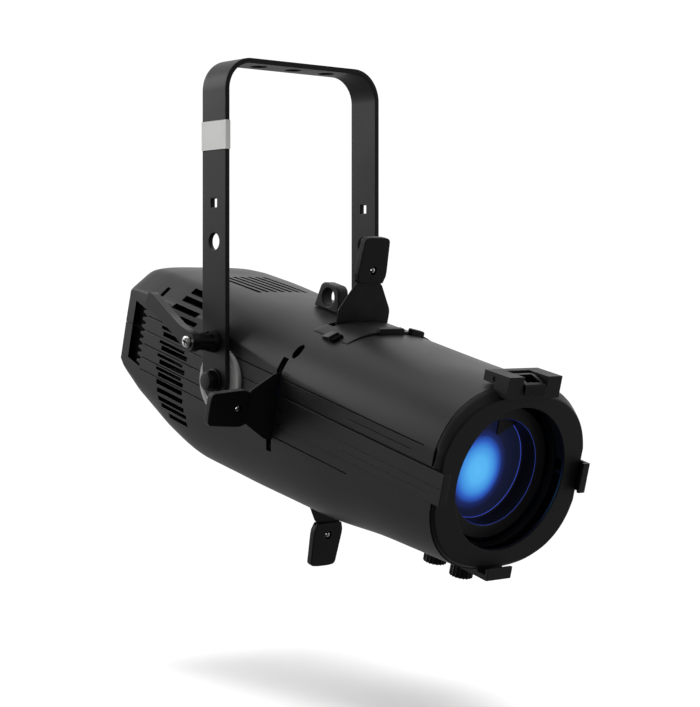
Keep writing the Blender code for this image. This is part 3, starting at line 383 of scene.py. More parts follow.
def add_box(bm, low, high):
    """Add a box between two opposite corners."""
    size = [b - a for a, b in zip(low, high)]
    middle = [(a + b) / 2 for a, b in zip(low, high)]
    place = Matrix.Translation(middle) @ Matrix.Diagonal((*size, 1.0))
    bmesh.ops.create_cube(bm, size=1.0, matrix=place)


def add_side_box(bm, sign, near, far, ys, zs):
    """Add a box on the side that sign gives, from near to far out from the middle."""
    low, high = sorted((sign * near, sign * far))
    add_box(bm, (low, ys[0], zs[0]), (high, ys[1], zs[1]))


def add_cylinder(bm, radius, begin, end, segments=48, end_radius=None):
    """Add a cylinder, or a cone when end_radius is given, from begin to end."""
    begin = Vector(begin)
    axis = Vector(end) - begin
    turn = axis.to_track_quat("Z", "Y").to_matrix().to_4x4()
    bmesh.ops.create_cone(bm, cap_ends=True, segments=segments, radius1=radius,
                          radius2=radius if end_radius is None else end_radius,
                          depth=axis.length, matrix=Matrix.Translation(begin + axis / 2) @ turn)


def add_prism(bm, outline, plane, low, high):
    """Extrude a closed outline of 2D points along the axis that plane leaves out."""
    order = {"yz": (2, 0, 1), "xz": (0, 2, 1), "xy": (0, 1, 2)}[plane]

    def place(point, depth):
        source = (point[0], point[1], depth)
        return Vector([source[index] for index in order])

    ends = [[bm.verts.new(place(p, depth)) for p in outline] for depth in (low, high)]
    count = len(outline)
    faces = [bm.faces.new(ends[0]), bm.faces.new(ends[1])]
    for i in range(count):
        j = (i + 1) % count
        faces.append(bm.faces.new((ends[0][i], ends[0][j], ends[1][j], ends[1][i])))
    bmesh.ops.recalc_face_normals(bm, faces=faces)


def add_turned(bm, profile, steps, place=Matrix.Identity(4)):
    """Add a turned solid round place's Z axis; profile points are (radius, height).

    A profile that starts and ends on the axis is capped there, any other closes on itself.
    """
    closed = profile[0][0] > 0
    rings = []
    for radius, height in profile:
        if radius <= 0:
            rings.append([bm.verts.new(place @ Vector((0, 0, height)))])
            continue
        angles = [math.tau * i / steps for i in range(steps)]
        circle = [Vector((radius * math.cos(a), radius * math.sin(a), height)) for a in angles]
        rings.append([bm.verts.new(place @ point) for point in circle])
    pairs = list(zip(rings, rings[1:])) + ([(rings[-1], rings[0])] if closed else [])
    faces = []
    for first, second in pairs:
        for i in range(steps):
            j = (i + 1) % steps
            corners = [first[i % len(first)], first[j % len(first)],
                       second[j % len(second)], second[i % len(second)]]
            faces.append(bm.faces.new(list(dict.fromkeys(corners))))
    bmesh.ops.recalc_face_normals(bm, faces=faces)


def facing(origin, along):
    """Frame at origin whose Z axis runs along the given direction."""
    return Matrix.Translation(origin) @ Vector(along).to_track_quat("Z", "Y").to_matrix().to_4x4()


AHEAD, SIDEWAYS = facing((0, 0, 0), (0, -1, 0)), facing((0, 0, 0), (1, 0, 0))


def prism(name, outline, plane, low, high, place=LAMP_FRAME):
    """Start a piece that is an extruded outline."""
    return start(name, lambda bm: add_prism(bm, outline, plane, low, high), place)


def turned(name, profile, steps, axis, place=LAMP_FRAME):
    """Start a piece that is turned round axis, a frame whose Z axis it follows."""
    return start(name, lambda bm: add_turned(bm, profile, steps, axis), place)


def at_station(y, outline):
    """A ring of 3D points: an outline of (x, z) points that stands at y."""
    return [(x, y, z) for x, z in outline]


def arc(centre, radius, begin, end, count):
    """Points on an arc, angles in degrees."""
    angles = [math.radians(begin + (end - begin) * i / (count - 1)) for i in range(count)]
    return [(centre[0] + radius * math.cos(a), centre[1] + radius * math.sin(a)) for a in angles]


def mirrored(right):
    """Close an outline whose right half is given, first point to last."""
    return right + [(-x, z) for x, z in reversed(right)]


# ---------------------------------------------------------------- the body's sections
def slope(index, field):
    """Slope of one section value at a station, limited so that it never overshoots."""
    steps = []
    for low, high in ((index - 1, index), (index, index + 1)):
        if 0 <= low and high < len(SECTIONS):
            run = SECTIONS[high][0] - SECTIONS[low][0]
            steps.append((SECTIONS[high][field] - SECTIONS[low][field]) / run)
    if len(steps) == 1:
        return steps[0]
    if steps[0] * steps[1] <= 0:
        return 0.0
    return 2 * steps[0] * steps[1] / (steps[0] + steps[1])


def section_at(y):
    """Top, flat, bottom, flat and powers at y, on a smooth curve through the sections."""
    index = 0
    while index < len(SECTIONS) - 2 and y > SECTIONS[index + 1][0]:
        index += 1
    low, high = SECTIONS[index], SECTIONS[index + 1]
    span = high[0] - low[0]
    t = min(1.0, max(0.0, (y - low[0]) / span))
    if low[0] >= STRAIGHT_FROM:
        return [low[k] + (high[k] - low[k]) * t for k in range(1, 7)]
    keep, rise = 1 - 3 * t * t + 2 * t ** 3, 3 * t * t - 2 * t ** 3
    first, last = t - 2 * t * t + t ** 3, t ** 3 - t * t
    return [low[k] * keep + high[k] * rise
            + span * (slope(index, k) * first + slope(index + 1, k) * last) for k in range(1, 7)]


def half_section(half_width, height, flat, power, count):
    """Points from the right edge of the flat side, over the curved half, to the left one."""
    sine = (flat / height) ** (power / 2)
    reach = half_width / (1 - sine * sine) ** (1 / power)
    begin = math.asin(sine)
    points = []
    for i in range(count):
        angle = begin + (math.pi - 2 * begin) * i / (count - 1)
        cosine = math.cos(angle)
        points.append((math.copysign(abs(cosine) ** (2 / power), cosine) * reach,
                       math.sin(angle) ** (2 / power) * height))
    return points


def upper_outline(y, offset=0.0, count=81):
    """Outline of the upper half at y, moved outward by offset: round ahead, chamfered behind."""
    top, flat, _, _, power, _ = section_at(y)
    ramp = min(1.0, max(0.0, (y - CHAMFER_FROM) / CHAMFER_GROWS))
    share = ramp * ramp * (3 - 2 * ramp)
    outward = Vector((top - flat, CHAMFER_WIDTH)).normalized()
    points = []
    for x, z in half_section(SIDE + offset, top + offset, flat, power, count):
        over = outward.dot(Vector((abs(x) - SIDE - offset, z - flat)))
        if over > -CHAMFER_SOFT:
            cut = over if over > CHAMFER_SOFT else (over + CHAMFER_SOFT) ** 2 / (4 * CHAMFER_SOFT)
            x = math.copysign(abs(x) - outward.x * cut * share, x)
            z -= outward.y * cut * share
        points.append((x, z))
    return points


def lower_outline(y, offset=0.0, count=81):
    """Curved outline of the lower half at y, from left to right."""
    _, _, bottom, flat, _, power = section_at(y)
    points = half_section(SIDE + offset, bottom + offset, flat, power, count)
    return [(x, -z) for x, z in reversed(points)]


def loft(bm, rings, closed, capped=False):
    """Skin rings of 3D points that run counter-clockwise seen along +Y, front to back."""
    grid = [[bm.verts.new(point) for point in ring] for ring in rings]
    count = len(grid[0])
    for front, back in zip(grid, grid[1:]):
        for j in range(count if closed else count - 1):
            k = (j + 1) % count
            bm.faces.new((front[j], back[j], back[k], front[k]))
    if capped:
        bm.faces.new(grid[0])
        bm.faces.new(list(reversed(grid[-1])))


def stations(front, back, pitch):
    """Evenly spaced stations from front to back, at most pitch apart."""
    count = max(1, math.ceil((back - front) / pitch))
    return [front + (back - front) * i / count for i in range(count + 1)]


def shell(name, front, half):
    """One of the body's two shells: a smooth skin with a wall of even thickness."""
    def build(bm):
        rings = []
        for y in stations(front, REAR_END, 0.004):
            if half == "upper":
                edge = SEAM + GAP / 2
                outline = [(SIDE - 0.0004, edge), (SIDE, edge + 0.0004)]
                outline += upper_outline(y)
                outline += [(-SIDE, edge + 0.0004), (-SIDE + 0.0004, edge)]
            else:
                edge = SEAM - GAP / 2
                outline = [(-SIDE + 0.0004, edge), (-SIDE, edge - 0.0004)]
                outline += lower_outline(y)
                outline += [(SIDE, edge - 0.0004), (SIDE - 0.0004, edge)]
            rings.append(at_station(y, outline))
        loft(bm, rings, closed=False)

    obj = start(name, build)
    wall = obj.modifiers.new("wall", "SOLIDIFY")
    wall.thickness = WALL
    wall.offset = -1.0
    wall.use_even_offset = True
    apply_modifiers(obj)
    return obj


# ---------------------------------------------------------------- yoke and pivots
def yoke():
    """The bent flat bar with its holes, and the blank label on one arm."""
    half, edge = ARM_OUTER, YOKE_STRAP / 2
    foot = -edge - 0.001
    corner = (half - YOKE_BEND, YOKE_HEIGHT - YOKE_BEND)
    right = [(half, foot)] + arc(corner, YOKE_BEND, 0, 90, 25)
    inside = [(ARM_INNER, foot)] + arc(corner, YOKE_BEND - YOKE_THICK, 0, 90, 25)
    outline = mirrored(right) + [(-x, z) for x, z in inside] + inside[::-1]
    strap = prism("yoke_bar", outline, "xz", -edge, edge, YOKE_FRAME)
    top, side = YOKE_HEIGHT + 0.01, edge + 0.001
    rounded = [(side, 0.0), (side, top), (-side, top), (-side, 0.0)]
    rounded += arc((0, 0), edge, 180, 360, 49)
    carve(strap, lambda bm: add_prism(bm, rounded, "yz", -0.1, 0.1), "INTERSECT")

    def holes(bm):
        for x in (-HOOK_PITCH, 0.0, HOOK_PITCH):
            add_cylinder(bm, HOOK_HOLE / 2, (x, 0, YOKE_HEIGHT - 0.01), (x, 0, YOKE_HEIGHT + 0.01))
        for sign in (-1, 1):
            near, far = sorted((sign * (ARM_INNER - 0.005), sign * (ARM_OUTER + 0.005)))
            add_cylinder(bm, HOOK_HOLE / 2, (near, 0, ARM_HOLE_UP), (far, 0, ARM_HOLE_UP))
            add_cylinder(bm, PIVOT_HOLE, (near, 0, 0), (far, 0, 0))
            add_box(bm, (near, -0.0036, ARM_SLOT_UP - 0.0034), (far, 0.0036, ARM_SLOT_UP + 0.0034))
        add_cylinder(bm, 0.0043, (-ARM_OUTER - 0.005, 0, LEVER_UP),
                     (-ARM_INNER + 0.005, 0, LEVER_UP))

    carve(strap, holes)
    round_edges(strap, 0.0006)
    settle(strap, YOKE_COAT, "yoke_body", "yoke_black", "yoke")

    skin, bend, crease = 0.0004, 0.0009, 0.00012
    outer_x, front_y = -ARM_OUTER - GAP - skin, -edge - GAP - skin
    low, high = LABEL_UP - LABEL_TALL / 2, LABEL_UP + LABEL_TALL / 2
    corner = (outer_x + bend, front_y + bend)
    wrap = [(outer_x, edge)] + arc(corner, bend, 180, 270, 7) + [(-ARM_INNER, front_y)]
    wrap += [(-ARM_INNER, front_y + skin)] + arc(corner, bend - skin, 270, 180, 7)
    wrap.append((outer_x + skin, edge))
    label = prism("label_film", wrap, "xy", low, high, YOKE_FRAME)

    def creases(bm):
        for y in (-0.0112, 0.0118):
            add_box(bm, (outer_x - 0.001, y - crease, low - 0.001),
                    (outer_x + crease, y + crease, high + 0.001))

    carve(label, creases)
    settle(label, FILM, "yoke_body", "label_grey", "yoke_label")


def hexagon_head(bm, radius, base, top):
    """A hexagon bolt head along X, from base to top."""
    place = facing((base, 0, 0), (top - base, 0, 0))
    height = abs(top - base)
    bmesh.ops.create_cone(bm, cap_ends=True, segments=6, radius1=radius, radius2=radius,
                          depth=height, matrix=place @ Matrix.Translation((0, 0, height / 2)))


def pivots():
    """Washer, bolt and friction disc on each side."""
    for side, sign in (("left", -1), ("right", 1)):
        inner = ARM_OUTER + GAP
        place = facing((sign * inner, 0, 0), (sign, 0, 0))
        upright = YOKE_FRAME.inverted() @ LAMP_FRAME @ place
        ring = [(0.0094, 0.0), (0.0094, 0.0012), (0.0090, 0.0016), (0.0058, 0.0016),
                (0.0054, 0.0012), (0.0054, 0.0)]
        washer = turned("washer_" + side, ring, 56, upright, YOKE_FRAME)
        settle(washer, BLACK_STEEL, "yoke_body", "steel_black", "pivot_washer_" + side)

        radius, tall = 0.0082, 0.0065
        head_in = sign * (inner + 0.0016 + GAP)
        head_out = head_in + sign * tall
        bolt = start("bolt_" + side, lambda bm: hexagon_head(bm, radius, head_in, head_out))
        cap = [(0.0, -0.001), (radius, -0.001), (radius, 0.0042), (0.0064, 0.0061),
               (0.0059, 0.0064), (0.0, tall)]
        outward = facing((head_in, 0, 0), (sign, 0, 0))
        carve(bolt, lambda bm: add_turned(bm, cap, 64, outward), "INTERSECT")
        carve(bolt, lambda bm: add_cylinder(bm, 0.005, (sign * 0.060, 0, 0),
                                            (head_in + sign * 0.001, 0, 0)), "UNION")
        settle(bolt, BLACK_STEEL, "lamp_body", "steel_black", "pivot_bolt_" + side)

        half = (ARM_INNER - SIDE - 2 * GAP) / 2
        profile = [(0.0245, half), (0.0255, half - 0.0008), (0.0255, -half), (0.0054, -half),
                   (0.0054, half), (0.0200, half), (0.0203, half - 0.0005),
                   (0.0212, half - 0.0005), (0.0215, half)]
        middle = facing((sign * (SIDE + GAP + half), 0, 0), (sign, 0, 0))
        disc = turned("tilt_disc_" + side, profile, 96, middle)
        settle(disc, DISC, "lamp_body", "disc_grey", "friction_disc_" + side)


def tilt_clamp():
    """The lever that locks the tilt, and its cross-head screw."""
    place = Matrix.Translation((-ARM_OUTER, 0, LEVER_UP - YOKE_HEIGHT))
    end = -0.0245
    neck = [(0.0, -GAP), (0.0084, -GAP), (0.0088, -0.0008), (0.0080, -0.0050), (0.0068, -0.0085),
            (0.0066, -0.0150), (0.0070, end), (0.0, end)]
    lever = turned("tilt_handle", neck, 56, SIDEWAYS, place)
    lean, length = math.radians(31.5), 0.0640
    along = Vector((math.cos(lean), math.sin(lean)))
    across = Vector((-along.y, along.x))
    widths = ((0.004, 0.0072), (0.010, 0.0060), (0.018, 0.0052), (0.034, 0.0052), (0.048, 0.0057),
              (length - 0.006, 0.0063), (length - 0.0022, 0.0060), (length - 0.0005, 0.0046),
              (length, 0.0030))
    edge = [along * reach + across * width for reach, width in widths]
    edge += [along * reach - across * width for reach, width in reversed(widths)]
    outline = [(p.x, p.y) for p in edge] + arc((0, 0), 0.0078, 301.5 - 25, 121.5 + 25, 21)
    carve(lever, lambda bm: add_prism(bm, outline, "yz", end, end + 0.0068), "UNION")

    def hollows(bm):
        add_cylinder(bm, 0.0041, (0.01, 0, 0), (-0.04, 0, 0))
        for flute in range(FLUTES):
            angle = math.tau * (flute + 0.3) / FLUTES
            y, z = 0.0082 * math.cos(angle), 0.0082 * math.sin(angle)
            add_cylinder(bm, 0.0020, (-0.0050, y, z), (-0.0172, y, z), 24)

    carve(lever, hollows)
    round_edges(lever, 0.0007, 3)
    settle(lever, PLASTIC, "lever_body", "plastic_black", "tilt_lever")

    head = end - GAP
    profile = [(0.0, 0.0044), (0.0038, 0.0044), (0.0038, head), (0.0046, head),
               (0.0046, head - 0.0010), (0.0041, head - 0.0019), (0.0030, head - 0.0023),
               (0.0, head - 0.0024)]
    screw = turned("handle_screw", profile, 56, SIDEWAYS, place)

    def recess(bm):
        for turn in (0, 90):
            spin = Matrix.Rotation(math.radians(turn + 20), 4, "X")
            bar = Matrix.Diagonal((0.0030, 0.0062, 0.0013, 1.0))
            bar = spin @ Matrix.Translation((head - 0.0021, 0, 0)) @ bar
            bmesh.ops.create_cube(bm, size=1.0, matrix=bar)

    screw.data.materials.append(BRIGHT)
    # The walls of the cross recess get the near-black painted shade.
    carve(screw, recess, overlapping=True, lining=PAINTED_SHADE)
    settle(screw, BRIGHT, "lever_body", "bright_steel", "clamp_screw")


# ---------------------------------------------------------------- housing
def groove(bm, sign, z, front, back, depth=0.0008, width=0.0008):
    """A fine groove along the flat side."""
    add_side_box(bm, sign, SIDE - depth, SIDE + 0.002, (front, back),
                 (z - width / 2, z + width / 2))


def side_cuts(bm, sign):
    """Slots, rear comb opening, shutter slot and pressed lines of one side."""
    inside, outside = sorted((sign * 0.055, sign * 0.078))
    for z, half, front, back in SIDE_SLOTS:
        add_box(bm, (inside, front, z - half), (outside, back, z + half))
    slot_y = SHUTTER_Y["left"]
    add_box(bm, (inside, slot_y - 0.003, -0.035), (outside, slot_y + 0.003, 0.037))
    comb = [(0.128, 0.030)]
    for tooth in range(8):
        z = 0.0265 - 0.0058 * tooth
        comb += [(0.110, z), (0.115, z - 0.0012), (0.115, z - 0.0030), (0.110, z - 0.0042)]
    comb += [(0.110, -0.0205), (0.128, -0.0175)]
    add_prism(bm, comb, "yz", inside, outside)
    ahead, behind = slot_y - 0.0045, slot_y + 0.0045
    for z, front in ((0.0223, -0.2290), (-0.0009, -0.2600), (-0.0121, -0.1920), (-0.0220, -0.1580)):
        groove(bm, sign, z, front, ahead)
        groove(bm, sign, z, behind, 0.1080)
    for z, front, back in ((0.0275, -0.2320, ahead), (0.0160, -0.2180, -0.1500),
                           (-0.0070, -0.2450, -0.1500)):
        groove(bm, sign, z, front, back, 0.0004, 0.0005)


def upper_vents(bm, sign):
    """The slanted group of four slots on the shoulder of one side, and a small slot behind."""
    inside, outside = sorted((sign * 0.040, sign * 0.078))
    for z, front_low, front_high, back_low, back_high in SHOULDER_SLOTS:
        low, high = z - SHOULDER_SLOT_HALF, z + SHOULDER_SLOT_HALF
        add_prism(bm, [(front_low, low), (back_low, low), (back_high, high), (front_high, high)],
                  "yz", inside, outside)
    add_box(bm, (inside, 0.0955, 0.0415), (outside, 0.1000, 0.0485))


def housing():
    """The two shells of the lamp with every opening, and the rails and clips on them."""
    upper = shell("upper_housing", UPPER_FRONT, "upper")

    def top_openings(bm):
        for sign in (-1, 1):
            side_cuts(bm, sign)
            upper_vents(bm, sign)
            turn = Matrix.Rotation(math.radians(sign * 55), 4, "Y")
            oval = Matrix.Diagonal((0.0066, 0.0034, 0.016, 1.0))
            place = Matrix.Translation((sign * 0.0590, -0.0730, 0.0425)) @ turn @ oval
            bmesh.ops.create_cone(bm, cap_ends=True, segments=48, radius1=1, radius2=1, depth=1,
                                  matrix=place)
        for index in range(7):
            x = (index - 3) * 0.0077
            add_box(bm, (x - 0.0019, 0.0283, 0.050), (x + 0.0019, 0.0860, 0.075))
        slot_y = SHUTTER_Y["top"]
        add_box(bm, (-0.030, slot_y - 0.003, 0.045), (0.030, slot_y + 0.003, 0.080))

    upper.data.materials.append(CAST)
    # The walls of the vents and slots get the near-black painted shade.
    carve(upper, top_openings, overlapping=True, lining=PAINTED_SHADE)
    settle(upper, CAST, "lamp_body", "cast_black", "upper_shell")

    lower = shell("lower_housing", LOWER_FRONT, "lower")

    def bottom_openings(bm):
        side_cuts(bm, -1)
        side_cuts(bm, 1)
        slot_y = SHUTTER_Y["bottom"]
        add_box(bm, (-0.030, slot_y - 0.003, -0.095), (0.030, slot_y + 0.003, -0.060))
        add_box(bm, (-TRACK_HALF - GAP, TRACK_FRONT - GAP, -0.095),
                (TRACK_HALF + GAP, TRACK_BACK + GAP, -0.055))
        add_cylinder(bm, PIVOT_HOLE, (-0.08, 0, 0), (0.08, 0, 0))

    lower.data.materials.append(CAST)
    # The walls of the slots and openings get the near-black painted shade.
    carve(lower, bottom_openings, overlapping=True, lining=PAINTED_SHADE)
    settle(lower, CAST, "lamp_body", "cast_black", "lower_shell")

    for side, sign in (("left", -1), ("right", 1)):
        inner, lip, outer = sign * (SIDE - 0.0012), sign * 0.065, sign * CLIP_SIDE
        rail = [(inner, -0.0785), (inner, CLIP_FRONT + 0.0022), (lip, CLIP_FRONT + 0.0022),
                (lip, CLIP_FRONT), (outer, CLIP_FRONT), (outer, -0.1500),
                (outer - sign * 0.0004, -0.0785)]
        clip = prism("side_rail_" + side, rail, "xy", CLIP_LOW, CLIP_HIGH)

        def lines(bm):
            beyond = CLIP_SIDE + 0.002
            add_side_box(bm, sign, CLIP_SIDE - 0.0005, beyond, (-0.2600, -0.0700),
                         (-0.0013, -0.0007))
            add_side_box(bm, sign, CLIP_SIDE - 0.0004, beyond, (-0.2450, -0.1500),
                         (-0.0072, -0.0068))

        round_edges(clip, 0.0004)
        carve(clip, lines)
        settle(clip, CAST)

    side = [(CLIP_FRONT, -0.0712), (-0.2285, -0.0712), (-0.2285, -0.0650), (-0.2450, -0.0645),
            (-0.2450, -0.0672), (CLIP_FRONT + 0.0022, -0.0672), (CLIP_FRONT + 0.0022, -0.0625),
            (CLIP_FRONT, -0.0625)]
    foot = prism("foot_clip", side, "yz", -0.0125, 0.0115)
    round_edges(foot, 0.0004)
    settle(foot, CAST)


def inner_liners():
    """Near-black baffles behind the toothed openings, and tongues that close the seam from inside:
    painted shade, dark pieces where the inside lies in shade.
    """
    tongue_outer = SIDE - WALL - 0.0001
    tall, sealed = (SEAM - 0.002, SEAM + 0.002), (SEAM - 0.00012, SEAM + 0.00012)
    for side, sign in (("left", -1), ("right", 1)):
        def baffle(bm):
            add_side_box(bm, sign, 0.0650, LINER_X, (0.1060, 0.1325), (-0.0240, 0.0340))

        def tongues(bm):
            add_side_box(bm, sign, LINER_X, tongue_outer, (0.0890, REAR_END - 0.0003), tall)
            add_side_box(bm, sign, 0.0670, SIDE - 0.0004, (0.0890, REAR_END), sealed)

        def front(bm):
            add_side_box(bm, sign, LINER_X, tongue_outer, (UPPER_FRONT + 0.001, -0.0760), tall)

        for name, build in (("painted_shade_baffle_", baffle), ("seam_tongue_", tongues),
                            ("seam_tongue_front_", front)):
            # Baffles and tongues all get the near-black painted shade.
            settle(start(name + side, build), PAINTED_SHADE)


def saddle_catch():
    """The sprung catch at the left end of the gate cover: a wedge over a near-black sheet, painted
    shade in the mouth under it.
    """
    count, first, last = 91, 61, 67
    wedge = ((-0.0790, 0.0014), (-0.0840, 0.0027), (-0.0885, 0.0038), (-0.0892, 0.0036))
    mouth = ((-0.0940, 0.0025), (-0.0894, 0.0025))
    # The wedge has the casting coat; the sheet under it is painted shade.
    for name, rises, mat in (("wedge", wedge, CAST), ("mouth", mouth, PAINTED_SHADE)):
        def build(bm):
            rings = []
            for y, rise in rises:
                outside = upper_outline(y, rise, count)[first:last]
                inside = upper_outline(y, 0.0004, count)[first:last]
                rings.append(at_station(y, outside + inside[::-1]))
            loft(bm, rings, closed=True, capped=True)

        settle(start("cover_catch_" + name, build), mat)


def gate_saddle():
    """Raised cover over the gate: thin, fading into the shell, with two hooks at its front."""
    low, high, count, skipped, fade = 0.0003, 0.0018, 91, 26, 11
    back = -0.0640

    def build(bm):
        rings = []
        for y in stations(-0.1045, back, 0.0025):
            raised = upper_outline(y, high, count)[skipped:-skipped]
            inside = upper_outline(y, low, count)[skipped:-skipped]
            last = len(raised) - 1
            behind = min(1.0, (back - y) / 0.0020)
            outside = []
            for j, (up, base) in enumerate(zip(raised, inside)):
                share = 0.03 + 0.97 * min(1.0, j / fade, (last - j) / fade, behind)
                outside.append([b + (u - b) * share for b, u in zip(base, up)])
            rings.append(at_station(y, outside + inside[::-1]))
        loft(bm, rings, closed=True, capped=True)

    cover = start("gate_saddle", build)
    slot_y = SHUTTER_Y["top"]
    carve(cover, lambda bm: add_box(bm, (-0.0305, slot_y - 0.0033, 0.045),
                                    (0.0305, slot_y + 0.0033, 0.080)))
    settle(cover, CAST, "lamp_body", "cast_black", "gate_cover")

    hooks = (("middle", [(-0.0140, 0.0645), (0.0105, 0.0645), (0.0105, 0.0685),
                         (0.0095, 0.0692), (-0.0130, 0.0692), (-0.0140, 0.0685)]),
             ("right", [(0.0180, 0.0640), (0.0310, 0.0618), (0.0312, 0.0656), (0.0302, 0.0664),
                        (0.0190, 0.0686), (0.0180, 0.0680)]))
    for name, outline in hooks:
        hook = prism("cover_hook_" + name, outline, "xz", -0.1062, -0.1015)
        round_edges(hook, 0.0005)
        # The hooks get the darker copy of the casting coat: painted shade.
        settle(hook, SHADED_CAST_COAT)


def front_plate():
    """Front plate with its collar, finger notches, latch box and bore."""
    def build(bm):
        rings = []
        for y, top, side, bottom in (
                (RING_FACE, 0.0592, 0.0672, 0.0622), (-0.2483, 0.0600, 0.0680, 0.0630),
                (-0.2478, 0.0607, 0.0685, 0.0636), (-0.2470, 0.0614, 0.0689, 0.0641),
                (-0.2458, 0.0625, 0.0692, 0.0647), (-0.2440, 0.0642, 0.0696, 0.0653),
                (-0.2425, 0.0655, 0.0699, 0.0657), (UPPER_FRONT - GAP, 0.0664, 0.0700, 0.0660)):
            above, below = (half_section(side, height, 0.0190, 2.5, 81)
                            for height in (top, bottom))
            rings.append(at_station(y, above + [(x, -z) for x, z in reversed(below)]))
        loft(bm, rings, closed=True, capped=True)

    ring = start("front_plate", build)
    box = [(-0.254, 0.0600), (-0.254, 0.0755), (-0.2295, 0.0745), (-0.2295, 0.0672),
           (-0.2405, 0.0672), (-0.2405, 0.0600)]
    carve(ring, lambda bm: add_prism(bm, box, "yz", -0.0256, 0.0256), "UNION")
    bore = [(0.0, 0.2500), (RING_BORE + 0.0012, 0.2500), (RING_BORE, 0.2476),
            (RING_BORE, 0.2390), (0.0, 0.2390)]
    # The front plate gets the darker copy of the casting coat: painted shade.
    ring.data.materials.append(SHADED_CAST_COAT)
    carve(ring, lambda bm: add_turned(bm, bore, 128, AHEAD), lining=GLOSS_BORE)

    tube = [(RING_BORE, 0.2388), (RING_BORE, 0.2330), (0.0525, 0.2330), (0.0525, 0.2388)]
    settle(turned("bore_sleeve", tube, 128, AHEAD), GLOSS_BORE)

    def cuts(bm):
        add_box(bm, (-0.080, LOWER_FRONT - GAP, -0.080), (0.080, -0.230, SEAM + GAP))
        add_box(bm, (-0.0115, -0.260, 0.0620), (0.0115, -0.2355, 0.0800))
        add_box(bm, (-0.0128, -0.250, -0.080), (0.0118, -0.240, -0.0640))
        add_cylinder(bm, 0.0018, (-0.03, LATCH_Y, LATCH_Z), (0.03, LATCH_Y, LATCH_Z), 32)
        for sign in (-1, 1):
            add_side_box(bm, sign, SIDE - 0.0016, 0.080, (-0.260, -0.230),
                         (CLIP_LOW - GAP, CLIP_HIGH + GAP))
            notch = arc((0.0, 0.0), 1.0, 0, 180, 25)
            outline = [(-0.2400 - 0.0032 * v, 0.0105 + 0.012 * (u + 1)) for u, v in notch]
            add_prism(bm, outline, "yz", *sorted((sign * 0.0687, sign * 0.0740)))

    carve(ring, cuts, overlapping=True)
    settle(ring, SHADED_CAST_COAT, "lamp_body", "cast_black", "front_ring", smooth=30)

    leaf = [(0.0030, 0.0028), (0.0, 0.0034), (-0.0030, 0.0033), (-0.0120, 0.0008),
            (-0.0142, -0.0004), (-0.0150, -0.0022), (-0.0150, -0.0080), (-0.0141, -0.0080),
            (-0.0141, -0.0030), (-0.0128, -0.0014), (-0.0030, 0.0012), (0.0024, 0.0014)]
    place = LAMP_FRAME @ Matrix.Translation((0, LATCH_Y, LATCH_Z))
    latch = prism("frame_catch", leaf, "yz", -0.0100, 0.0100, place)
    eye = [(0.0018, -0.0108), (0.0018, 0.0108), (0.0030, 0.0108), (0.0030, -0.0108)]
    carve(latch, lambda bm: add_turned(bm, eye, 32, SIDEWAYS), "UNION")
    carve(latch, lambda bm: add_box(bm, (-0.0068, -0.0125, -0.006), (0.0068, -0.0020, 0.006)))
    round_edges(latch, 0.0003)
    settle(latch, BLACK_STEEL, "latch_body", "steel_black", "frame_latch")


def cable_eye():
    """The eye for a safety cable, on a low foot."""
    middle, base, high, corner, eye = -0.0315, 0.0641, 0.0845, 0.0060, 0.0740
    side = [(middle - 0.0150, base), (middle + 0.0150, base)]
    side += arc((middle + 0.0055, high - corner), corner, 10, 90, 15)
    side += arc((middle - 0.0055, high - corner), corner, 90, 170, 15)
    loop = prism("cable_eye", side, "yz", -0.005, 0.005)
    carve(loop, lambda bm: add_cylinder(bm, 0.0068, (-0.02, middle, eye), (0.02, middle, eye), 64))
    round_edges(loop, 0.0011, 3)
    settle(loop, CAST, "lamp_body", "cast_black", "safety_loop")


# ---------------------------------------------------------------- rear panel
CONNECTORS = {"power_inlet": (0.046, 0.034), "power_outlet": (0.046, 0.006),
              "data_input": (-0.046, 0.034), "data_output": (-0.046, 0.006)}
BUTTON_XS = [0.0150 + 0.0075 * i for i in range(4)]


